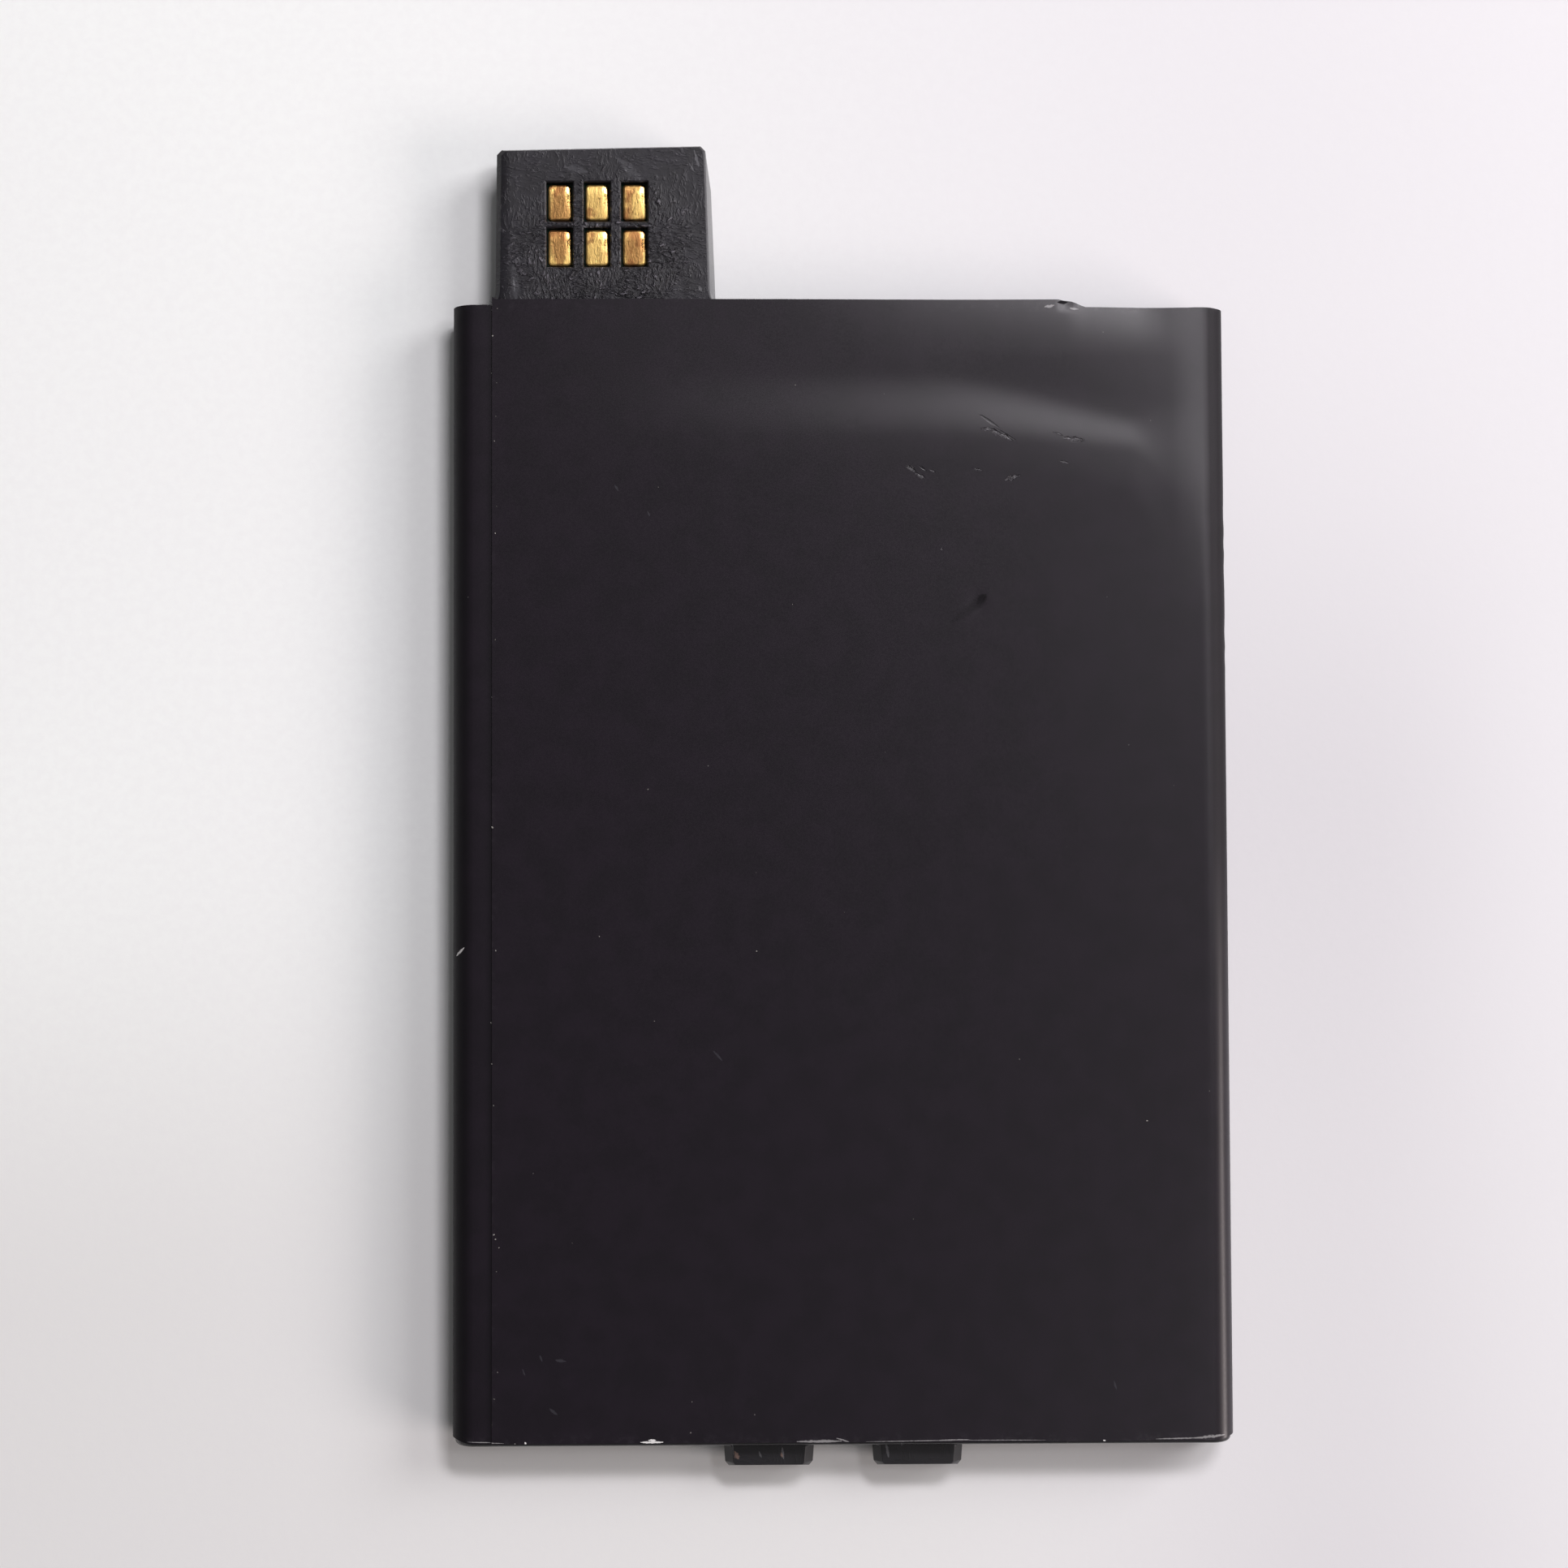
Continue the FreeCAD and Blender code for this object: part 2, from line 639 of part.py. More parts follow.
def film_section():
    # the sheet's cross-section: inner edge under the lap, round the back, outer edge over the lap
    half, radius = derived.half_width, derived.edge_round
    thick, front = sheet.film_thick, sheet.pack_thick
    strip, seam = derived.strip_front, derived.seam_x
    tucked = seam + sheet.seam_overlap
    middles = [(-half + radius, strip - radius), (-half + radius, radius),
               (half - radius, radius), (half - radius, front - radius)]
    headings = [(0, 1), (-1, 0), (0, -1), (1, 0), (0, 1)]

    def side(depth, start, finish):
        # corner arcs and the straight runs between them, at a depth under the outer face
        reach = radius - depth
        edges, previous = [], start
        for (across, up), (first_x, first_z), (last_x, last_z) in zip(middles, headings, headings[1:]):
            begin = FreeCAD.Vector(across + reach * first_x, 0, up + reach * first_z)
            finish_arc = FreeCAD.Vector(across + reach * last_x, 0, up + reach * last_z)
            slant = FreeCAD.Vector(first_x + last_x, 0, first_z + last_z).normalize()
            top = FreeCAD.Vector(across, 0, up) + slant * reach
            edges.append(Part.makeLine(previous, begin))
            edges.append(Part.Arc(begin, top, finish_arc).toShape())
            previous = finish_arc
        edges.append(Part.makeLine(previous, finish))
        return edges

    outer_ends = FreeCAD.Vector(tucked, 0, strip), FreeCAD.Vector(seam, 0, front)
    inner_ends = FreeCAD.Vector(tucked, 0, strip - thick), FreeCAD.Vector(seam, 0, front - thick)
    edges = side(0.0, *outer_ends) + side(thick, *inner_ends)
    edges += [Part.makeLine(outer_ends[0], inner_ends[0]), Part.makeLine(outer_ends[1], inner_ends[1])]
    return Part.Face(Part.Wire(Part.__sortEdges__(edges)))


def film_fall(across, along):
    # how far the front panel lies under the pack's front plane
    left, right = derived.sag_left, derived.sag_right
    spread = smooth_step((across - left) / sheet.sag_fade_left) \
        * smooth_step((right - across) / sheet.sag_fade_right)
    from_end = derived.half_length - along
    slope = smooth_step((sheet.sag_start - from_end) / (sheet.sag_start - sheet.sag_end))
    rim = smooth_step((sheet.rim_start - from_end) / sheet.rim_start)
    return spread * (sheet.sag_depth * slope + sheet.rim_fall * rim)


def film_front_panel():
    # the part of the front panel that falls towards the end cap, up to the tongue's edge
    left, right = derived.sag_left, derived.sag_right
    fade_left, fade_right = sheet.sag_fade_left, sheet.sag_fade_right
    start = derived.half_length - sheet.sag_start
    finish = derived.half_length + sheet.tongue_reach
    across = [left + fade_left * step / 8 for step in range(9)]
    plain = right - fade_right - across[-1]
    across += [across[8] + plain * step / 8 for step in range(1, 8)]
    across += [right - fade_right * (6 - step) / 6 for step in range(7)]
    sections = []
    rows = 14
    for row in range(rows + 1):
        along = start + (finish - start) * row / rows
        curves = []
        for depth in (0.0, sheet.film_thick):
            level = sheet.pack_thick - depth
            points = [FreeCAD.Vector(x, along, level - film_fall(x, along)) for x in across]
            curve = Part.BSplineCurve()
            curve.interpolate(points)
            curves.append(curve.toShape())
        outer, inner = curves
        closing = [Part.makeLine(outer.Vertexes[end].Point, inner.Vertexes[end].Point) for end in (0, -1)]
        sections.append(Part.Wire([outer, closing[1], inner, closing[0]]))
    return Part.makeLoft(sections, True, False)


def make_wrap_film():
    thick, front = sheet.film_thick, sheet.pack_thick
    top = derived.half_length
    bottom = -top + sheet.film_short
    left, right = derived.sag_left, derived.sag_right
    start = top - sheet.sag_start
    margin = sheet.cut_margin

    sleeve = film_section().extrude(FreeCAD.Vector(0, top - bottom, 0))
    sleeve.translate(FreeCAD.Vector(0, bottom, 0))
    opening = Part.makeBox(right - left, sheet.sag_start + margin, thick + margin,
                           FreeCAD.Vector(left, start, front - thick))
    panel = film_front_panel()
    tongue_end = derived.seam_x + sheet.tongue_width
    trim = [(tongue_end, top + margin), (tongue_end, top + sheet.tongue_reach),
            (tongue_end + sheet.tongue_slope, top), (right + margin, top), (right + margin, top + margin)]
    points = [FreeCAD.Vector(x, y, -margin) for x, y in trim]
    corner = Part.Face(Part.makePolygon(points + points[:1]))
    corner = corner.extrude(FreeCAD.Vector(0, 0, front + 2 * margin))
    flap = Part.makeBox(left - derived.seam_x, sheet.tongue_reach, thick,
                        FreeCAD.Vector(derived.seam_x, top, front - thick))
    film = document.addObject("Part::Feature", "wrap_film")
    film.Label = "wrap_film"
    film.Shape = sleeve.cut(opening).fuse([panel.cut(corner), flap]).removeSplitter().Solids[0]
    film.Placement = FreeCAD.Placement()
    return film


nodes = [make_wrap_film(), make_connector_housing(), make_back_cover(), make_foot_rail(), make_foot_tape(),
         make_pouch_cell(), make_lead("negative_tab", "lead_minus_x"),
         make_lead("positive_tab", "lead_plus_x"), make_board_foam(), make_circuit_board()]
for place_index, (contact_row, contact_column) in enumerate(
        [(row, column) for row in (0.5, -0.5) for column in (-1, 0, 1)], start=1):
    nodes.append(make_contact(f"contact_{place_index}", contact_column, contact_row))
nodes.append(make_leaded_chip("gauge_chip", "gauge", 4, "gauge_x", False))
nodes.append(make_leaded_chip("power_switch", "switch", 4, "switch_x", True))
nodes.append(make_leaded_chip("protection_chip", "guard", 3, "guard_x", False))
nodes.append(make_chip_part("sense_resistor", "resistor", "resistor_x", "strip_middle"))
nodes.append(make_chip_part("filter_capacitor_1", "capacitor", "capacitor_x",
                            "strip_middle - capacitor_pitch / 2"))
nodes.append(make_chip_part("filter_capacitor_2", "capacitor", "capacitor_x",
                            "strip_middle + capacitor_pitch / 2"))
nodes.append(make_chip_part("thermistor", "thermistor", "thermistor_x", "strip_middle"))
document.recompute()

for item in document.Objects:
    if "Invalid" in item.State or "Error" in item.State:
        raise RuntimeError(f"{item.Label} did not build: {item.State}")
for node in nodes:
    if node.Shape.isNull() or not node.Shape.isValid() or len(node.Shape.Solids) != 1:
        raise RuntimeError(f"{node.Label} is not one valid solid")

os.makedirs("parts", exist_ok=True)
for node in nodes:
    node.Shape.exportStep(f"parts/{node.Label}.step")
    print(node.Label, round(node.Shape.Volume, 2))
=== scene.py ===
import math

import bmesh
import bpy
import numpy as np
from mathutils import Euler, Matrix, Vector


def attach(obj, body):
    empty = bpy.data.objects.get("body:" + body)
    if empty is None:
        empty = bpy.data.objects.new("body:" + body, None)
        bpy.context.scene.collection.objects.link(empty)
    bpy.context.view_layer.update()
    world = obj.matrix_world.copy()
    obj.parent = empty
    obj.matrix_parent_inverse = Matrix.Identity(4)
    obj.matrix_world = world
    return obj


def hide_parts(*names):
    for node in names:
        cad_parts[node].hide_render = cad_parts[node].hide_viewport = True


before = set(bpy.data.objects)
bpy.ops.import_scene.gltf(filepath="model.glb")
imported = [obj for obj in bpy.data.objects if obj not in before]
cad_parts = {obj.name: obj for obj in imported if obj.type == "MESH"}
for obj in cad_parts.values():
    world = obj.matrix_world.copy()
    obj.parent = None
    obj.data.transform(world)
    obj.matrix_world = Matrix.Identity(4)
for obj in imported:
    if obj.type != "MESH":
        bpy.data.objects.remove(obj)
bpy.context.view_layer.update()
scene = bpy.context.scene
mm = 0.001  # sizes below are in millimetres, objects in metres
origin = (0.0, 0.0, 0.0)
print("frame loaded:", len(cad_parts), "solids")


# small helpers for node trees, shader and geometry alike

def tone(red, green, blue):  # display colour, 0 to 255, as scene linear
    parts = [value / 255 for value in (red, green, blue)]
    return tuple(p / 12.92 if p <= 0.04045 else ((p + 0.055) / 1.055) ** 2.4 for p in parts) + (1.0,)


def feed(tree, socket, value):  # a link from another node, or a plain value
    if isinstance(value, bpy.types.NodeSocket):
        tree.links.new(value, socket)
    else:
        socket.default_value = value


def addNode(tree, kind, inputs=None, **settings):
    node = tree.nodes.new(kind)
    for key, value in settings.items():
        setattr(node, key, value)
    for key, value in (inputs or {}).items():
        feed(tree, node.inputs[key], value)
    return node


def calc(tree, operation, first, second=0.0, clamp=False):
    node = addNode(tree, "ShaderNodeMath", {0: first, 1: second}, operation=operation, use_clamp=clamp)
    return node.outputs[0]


def times(tree, first, *others):
    for other in others:
        first = calc(tree, "MULTIPLY", first, other)
    return first


def plus(tree, first, second):
    return calc(tree, "ADD", first, second)


def minus(tree, first, *others, clamp=False):
    for other in others:
        first = calc(tree, "SUBTRACT", first, other, clamp)
    return first


def squarePast(tree, value, start):  # zero up to start, then a square
    past = calc(tree, "MAXIMUM", minus(tree, value, start), 0.0)
    return times(tree, past, past)


def vecCalc(tree, operation, first, second=origin):
    node = addNode(tree, "ShaderNodeVectorMath", {0: first, 1: second}, operation=operation)
    return node.outputs["Value" if operation in ("LENGTH", "DOT_PRODUCT", "DISTANCE") else "Vector"]


def scaleBy(tree, vector, factor):
    return addNode(tree, "ShaderNodeVectorMath", {0: vector, "Scale": factor}, operation="SCALE").outputs[0]


def axesOf(tree, vector):
    return addNode(tree, "ShaderNodeSeparateXYZ", {0: vector}).outputs


def fade(tree, value, low, high, start=0.0, finish=1.0, smooth=True):
    node = addNode(tree, "ShaderNodeMapRange",
                   {"Value": value, "From Min": low, "From Max": high, "To Min": start, "To Max": finish},
                   interpolation_type="SMOOTHSTEP" if smooth else "LINEAR")
    return node.outputs[0]


def mixColor(tree, factor, first, second):
    return addNode(tree, "ShaderNodeMix", {0: factor, 6: first, 7: second}, data_type="RGBA").outputs[2]


def mixValue(tree, factor, first, second):
    return addNode(tree, "ShaderNodeMix", {0: factor, 2: first, 3: second}).outputs[0]


def noise(tree, vector, scale, detail=2.0, roughness=0.5, distortion=0.0):
    return addNode(tree, "ShaderNodeTexNoise", {"Vector": vector, "Scale": scale, "Detail": detail,
                                                "Roughness": roughness, "Distortion": distortion}).outputs[0]


socketTypes = {float: "NodeSocketFloat", int: "NodeSocketInt", tuple: "NodeSocketVector"}


def newGroup(name, kind, sockets, results):  # a socket has a default value, or only the name of its type
    tree = bpy.data.node_groups.new(name, kind)
    for label, value in sockets.items():
        hasValue = type(value) in socketTypes
        socket = tree.interface.new_socket(name=label, in_out="INPUT",
                                           socket_type=socketTypes[type(value)] if hasValue else value)
        if hasValue:
            socket.default_value = value
    resultType = "NodeSocketFloat" if kind == "ShaderNodeTree" else "NodeSocketGeometry"
    for label in results:
        tree.interface.new_socket(name=label, in_out="OUTPUT", socket_type=resultType)
    return tree, tree.nodes.new("NodeGroupInput").outputs, tree.nodes.new("NodeGroupOutput").inputs


def placeGroup(tree, group, place, named):
    return addNode(tree, "ShaderNodeGroup", dict(named, Vector=place), node_tree=group).outputs


# effects shared by several finishes

def makeFineGrain():
    tree, given, out = newGroup("fineGrain", "ShaderNodeTree", {"Vector": origin, "Scale": 6.0},
                                ["Height", "Tone"])
    fine = noise(tree, given["Vector"], given["Scale"], 4.0, 0.62)
    broad = noise(tree, given["Vector"], times(tree, given["Scale"], 0.05), 3.0, 0.55)
    tree.links.new(fine, out["Height"])
    tree.links.new(broad, out["Tone"])
    return tree


def makeHairScratches():  # long thin lines, broken by a coarse noise
    tree, given, out = newGroup("hairScratches", "ShaderNodeTree",
                                {"Vector": origin, "Scale": 2.0, "Angle": 0.0, "Cover": 0.5}, ["Mask"])
    turned = addNode(tree, "ShaderNodeVectorRotate", {"Vector": given["Vector"], "Angle": given["Angle"]},
                     rotation_type="Z_AXIS").outputs[0]
    drawn = vecCalc(tree, "MULTIPLY", turned, (1.0, 0.035, 1.0))
    lines = calc(tree, "ABSOLUTE", minus(tree, noise(tree, drawn, given["Scale"], 2.0), 0.5))
    thin = fade(tree, lines, 0.0, 0.012, 1.0, 0.0)
    patch = noise(tree, given["Vector"], times(tree, given["Scale"], 0.2), 2.0)
    edge = minus(tree, 0.9, times(tree, given["Cover"], 0.5))
    kept = fade(tree, minus(tree, patch, edge), -0.05, 0.08)
    tree.links.new(times(tree, thin, kept), out["Mask"])
    return tree


def makeStrokeMark():  # one tapered scrape from Start to Finish, seen along Z
    tree, given, out = newGroup("strokeMark", "ShaderNodeTree",
                                {"Vector": origin, "Start": origin, "Finish": (1.0, 0.0, 0.0), "Width": 0.2,
                                 "Ragged": 0.4}, ["Mask"])
    flat = vecCalc(tree, "MULTIPLY", given["Vector"], (1.0, 1.0, 0.0))
    run = vecCalc(tree, "SUBTRACT", given["Finish"], given["Start"])
    reach = vecCalc(tree, "SUBTRACT", flat, given["Start"])
    share = calc(tree, "DIVIDE", vecCalc(tree, "DOT_PRODUCT", reach, run),
                 vecCalc(tree, "DOT_PRODUCT", run, run), clamp=True)
    away = vecCalc(tree, "DISTANCE", reach, scaleBy(tree, run, share))
    middle = minus(tree, times(tree, share, 2.0), 1.0)
    taper = minus(tree, 1.0, times(tree, middle, middle, 0.75))
    wobble = minus(tree, noise(tree, given["Vector"], 5.0, 3.0), 0.5)
    ragged = plus(tree, 1.0, times(tree, wobble, times(tree, given["Ragged"], 3.0)))
    half = times(tree, times(tree, given["Width"], 0.5), times(tree, taper, ragged))
    tree.links.new(fade(tree, calc(tree, "DIVIDE", away, half), 0.35, 1.0, 1.0, 0.0), out["Mask"])
    return tree


def makeDustVeil():  # scattered pin-point specks
    tree, given, out = newGroup("dustVeil", "ShaderNodeTree",
                                {"Vector": origin, "Scale": 0.7, "Size": 0.06, "Share": 0.2}, ["Mask"])
    cells = addNode(tree, "ShaderNodeTexVoronoi",
                    {"Vector": given["Vector"], "Scale": given["Scale"]}).outputs
    lot = addNode(tree, "ShaderNodeSeparateColor", {0: cells["Color"]}).outputs
    picked = calc(tree, "LESS_THAN", lot[0], given["Share"])
    size = times(tree, given["Size"], plus(tree, 0.4, lot[1]))
    spot = fade(tree, calc(tree, "DIVIDE", cells["Distance"], size), 0.6, 1.0, 1.0, 0.0)
    tree.links.new(times(tree, spot, picked), out["Mask"])
    return tree


def makeSparkTexture():  # the fine eroded surface of a moulded face
    tree, given, out = newGroup("sparkTexture", "ShaderNodeTree", {"Vector": origin, "Scale": 3.0},
                                ["Height", "Glint"])
    drift = addNode(tree, "ShaderNodeTexNoise", {"Vector": given["Vector"], "Scale": 0.9}).outputs[1]
    bent = scaleBy(tree, vecCalc(tree, "SUBTRACT", drift, (0.5, 0.5, 0.5)), 0.9)
    moved = vecCalc(tree, "ADD", given["Vector"], bent)
    upright = noise(tree, vecCalc(tree, "MULTIPLY", moved, (1.6, 0.55, 1.0)), given["Scale"], 3.0, 0.6)
    lying = noise(tree, vecCalc(tree, "MULTIPLY", moved, (0.55, 1.6, 1.0)), given["Scale"], 3.0, 0.6)
    turn = fade(tree, noise(tree, given["Vector"], 0.35, 1.0), 0.42, 0.58)
    mixed = mixValue(tree, turn, upright, lying)
    raised = fade(tree, mixed, 0.5, 0.66)
    tree.links.new(plus(tree, times(tree, mixed, 0.4), times(tree, raised, 0.25)), out["Height"])
    tree.links.new(fade(tree, mixed, 0.56, 0.68), out["Glint"])
    return tree


fineGrain = makeFineGrain()
hairScratches = makeHairScratches()
strokeMark = makeStrokeMark()
dustVeil = makeDustVeil()
sparkTexture = makeSparkTexture()


def newFinish(name, **fixed):  # a material with its shader and its millimetre coordinates
    material = bpy.data.materials.new(name)
    material.use_nodes = True
    tree = material.node_tree
    tree.nodes.clear()
    shader = addNode(tree, "ShaderNodeBsdfPrincipled", fixed)
    addNode(tree, "ShaderNodeOutputMaterial", {"Surface": shader.outputs[0]})
    place = scaleBy(tree, addNode(tree, "ShaderNodeTexCoord").outputs["Object"], 1.0 / mm)
    return material, tree, shader.inputs, place


def dress(tree, socket, color, rough, height):  # heights are in millimetres
    bump = addNode(tree, "ShaderNodeBump", {"Height": height, "Distance": mm, "Strength": 1.0}).outputs[0]
    for label, value in (("Base Color", color), ("Roughness", rough), ("Normal", bump)):
        feed(tree, socket[label], value)


def strongest(tree, masks):
    total = masks[0]
    for mask in masks[1:]:
        total = calc(tree, "MAXIMUM", total, mask)
    return total


def strokes(tree, place, marks, ragged):  # marks: start, end and width of each
    drawn = []
    for start, end, width in marks:
        drawn.append(placeGroup(tree, strokeMark, place, {
            "Start": (*start, 0.0), "Finish": (*end, 0.0), "Width": width, "Ragged": ragged})["Mask"])
    return strongest(tree, drawn)


def drawMarks(tree, place, look):  # one mask for each kind of mark that the finish lists
    return {name: strokes(tree, place, look[name], ragged) for name, ragged in look["raggedness"].items()}


def coat(tree, color, masks, layers):  # layers: how strongly each mask covers, and its colour
    for name, (share, layerTone) in layers.items():
        color = mixColor(tree, times(tree, masks[name], share), color, layerTone)
    return color


# black film: satin, slightly violet, with scrapes, chips and worn edges; its folds, dent and creases carry
# painted shade, its ends some painted highlights

filmFinish = {
    "base": tone(20, 14, 22), "pale": tone(24, 17, 26), "roughness": 0.36, "specular": 0.42,
    "grainScale": 8.0, "grainHeight": 0.0009, "scuffHeight": 0.11, "creaseHeight": 0.012,
    "hairHeight": 0.0015, "hairs": {"Scale": 1.3, "Angle": 0.5, "Cover": 0.35},
    "dust": {"Scale": 0.55, "Size": 0.035, "Share": 0.2},
    "shadeAndDulling": 0.8, "sideShade": 0.55, "dullRoughness": 0.25, "chipRoughness": 0.3, "wornPolish": 0.08,
    "leanTo": (0.5, 0.866, 0.0), "leanFrom": 38.0, "lean": 0.0021,
    "slackLine": 38.5, "slackDrop": 3.0, "slackDepth": 0.14, "slackBend": (7.0, 31.0),
    "slackRise": (-4.8, 3.2), "slackFade": (-27.0, -5.0),
    "scrapes": [((12.3, 36.6), (14.3, 35.5), 0.40), ((11.7, 36.5), (12.6, 36.4), 0.34),
                ((18.5, 35.7), (20.3, 35.5), 0.46), ((17.7, 36.2), (18.5, 35.9), 0.14),
                ((5.7, 33.4), (6.3, 32.9), 0.38), ((6.3, 32.8), (7.1, 32.4), 0.32),
                ((7.4, 33.1), (7.9, 32.9), 0.2), ((13.7, 32.2), (14.9, 32.6), 0.42),
                ((11.1, 33.2), (11.8, 33.0), 0.18), ((18.2, 33.8), (18.9, 33.6), 0.22),
                ((8.4, 26.6), (8.5, 26.4), 0.2)],
    # creases beside the scrapes: dents in the bump, painted dark as shade
    "shadedCreases": [((11.6, 37.7), (13.2, 36.6), 0.26), ((13.0, 36.5), (14.6, 35.5), 0.18),
                ((5.5, 33.4), (6.2, 33.1), 0.22), ((6.6, 33.4), (7.2, 33.0), 0.2)],
    "smears": [((-23.9, -43.5), (-23.3, -44.0), 0.30), ((-23.4, -39.6), (-22.6, -39.7), 0.34),
               ((-24.7, -39.2), (-24.5, -39.7), 0.22), ((-26.1, -40.3), (-25.9, -40.8), 0.20),
               ((-10.5, -14.6), (-9.8, -15.4), 0.24), ((-18.5, 31.9), (-18.2, 31.4), 0.20),
               ((-15.8, 29.7), (-15.6, 29.3), 0.20), ((22.0, -41.5), (22.2, -42.2), 0.18)],
    "chips": [((-16.5, -46.25), (-14.7, -46.25), 0.26), ((-15.9, -46.1), (-15.3, -46.1), 0.26),
              ((21.1, -46.27), (21.3, -46.42), 0.2), ((-25.9, -46.2), (-25.8, -46.35), 0.18),
              ((-31.6, -6.8), (-30.9, -6.1), 0.24)],
    # light lines along the ends: frays of the film, and painted highlights on the rounded bottom fold and at
    # the torn tongue
    "fraysAndHighlights": [((-3.8, -46.26), (-0.2, -46.24), 0.28), ((-0.6, -46.0), (0.4, -46.3), 0.16),
              ((1.8, -46.3), (10.4, -46.2), 0.09), ((7.6, -46.22), (10.2, -46.17), 0.14),
              ((9.8, -46.22), (16.4, -46.24), 0.07), ((25.4, -46.2), (29.6, -46.12), 0.14),
              ((28.6, -46.14), (31.0, -45.95), 0.3), ((17.1, 46.7), (17.9, 46.85), 0.34),
              ((19.2, 46.6), (19.9, 46.5), 0.24), ((-30.6, -46.2), (-27.6, -46.28), 0.1)],
    "dulled": [((18.2, 47.1), (19.0, 47.1), 0.4)],
    # painted shade in the pressed dent: a dark wedge
    "dentShade": [((9.2, 20.5), (12.0, 22.4), 1.1, 0.175), ((10.5, 21.4), (12.0, 22.5), 1.2, 0.3),
               ((11.3, 22.0), (12.0, 22.7), 1.0, 0.5)],  # the last number is how dark it is
    "raggedness": {"scrapes": 0.9, "shadedCreases": 0.5, "smears": 0.8, "chips": 0.7, "fraysAndHighlights": 0.8, "dulled": 0.3},
    # the dark layer is painted shade on the folds and in the dent, and also darkens the notch at the
    # tongue's end
    "layers": {"wearAndShade": (0.1, tone(96, 94, 98)), "dark": (1.0, tone(8, 7, 8)),
               "smears": (0.08, tone(140, 142, 150)), "scrapes": (0.24, tone(150, 148, 152)),
               "shadedCreases": (0.5, tone(8, 7, 8)), "dust": (0.3, tone(150, 147, 145)),
               "fraysAndHighlights": (0.6, tone(168, 166, 166)), "chips": (1.0, tone(222, 220, 218))},
}


def makeFilmFinish(look):
    material, tree, socket, place = newFinish("satinFilm")
    socket["Specular IOR Level"].default_value = look["specular"]
    grain = placeGroup(tree, fineGrain, place, {"Scale": look["grainScale"]})
    hairs = placeGroup(tree, hairScratches, place, look["hairs"])["Mask"]
    axes = axesOf(tree, place)
    front = fade(tree, axes[2], 1.8, 2.8)  # the marks are on the front and its round edges
    masks = {name: times(tree, mask, front) for name, mask in drawMarks(tree, place, look).items()}
    # the dent is painted dark, as shade in the hollow
    pressed = [times(tree, strokes(tree, place, [mark[:3]], 0.1), mark[3]) for mark in look["dentShade"]]
    dentShade = times(tree, strongest(tree, pressed), front)
    torn = noise(tree, place, 2.6, 3.0, 0.65)
    shadedFolds = addNode(tree, "ShaderNodeAttribute", attribute_name="shadedFolds").outputs["Fac"]
    # painted shade: the folds and the dent are darkened in colour and lose their sheen
    dark = strongest(tree, [times(tree, shadedFolds, look["sideShade"]), masks["dulled"], dentShade])
    dark = times(tree, dark, look["shadeAndDulling"])
    tree.links.new(dark, socket["Metallic"])  # a black metal has no sheen
    # edge wear: lighter and smoother at the seam and the ends
    wearAndShade = addNode(tree, "ShaderNodeAttribute", attribute_name="edgeWear").outputs["Fac"]
    wearAndShade = times(tree, wearAndShade, fade(tree, noise(tree, place, 1.6, 4.0, 0.7), 0.48, 0.66))
    covers = dict(masks, wearAndShade=wearAndShade, dark=dark, dust=placeGroup(tree, dustVeil, place, look["dust"])["Mask"],
                  scrapes=times(tree, masks["scrapes"], fade(tree, torn, 0.42, 0.56)),
                  shadedCreases=strongest(tree, [masks["shadedCreases"], dentShade]))
    color = mixColor(tree, fade(tree, grain["Tone"], 0.35, 0.65), look["base"], look["pale"])
    color = coat(tree, color, covers, look["layers"])
    rough = fade(tree, grain["Height"], 0.3, 0.7, look["roughness"] - 0.03, look["roughness"] + 0.03)
    rough = minus(tree, rough, times(tree, wearAndShade, look["wornPolish"]))
    dullest = strongest(tree, [masks["dulled"], shadedFolds])
    rough = plus(tree, rough, times(tree, dullest, look["dullRoughness"]))
    rough = plus(tree, rough, times(tree, masks["chips"], look["chipRoughness"]))
    outward = vecCalc(tree, "DOT_PRODUCT", place, look["leanTo"])  # leans to its upper right
    line = fade(tree, axes[0], *look["slackBend"], look["slackLine"], look["slackLine"] - look["slackDrop"])
    slack = fade(tree, minus(tree, axes[1], line), *look["slackRise"])  # soft foot of the sag
    slack = times(tree, slack, fade(tree, axes[0], *look["slackFade"], 0.0, look["slackDepth"]))
    height = minus(tree, times(tree, grain["Height"], look["grainHeight"]),
                   times(tree, masks["scrapes"], torn, look["scuffHeight"]),
                   times(tree, masks["shadedCreases"], look["creaseHeight"]),
                   times(tree, hairs, look["hairHeight"]),
                   times(tree, squarePast(tree, outward, look["leanFrom"]), look["lean"]), slack)
    dress(tree, socket, color, rough, height)
    return material


# black moulding: spark eroded faces, rims rubbed smooth

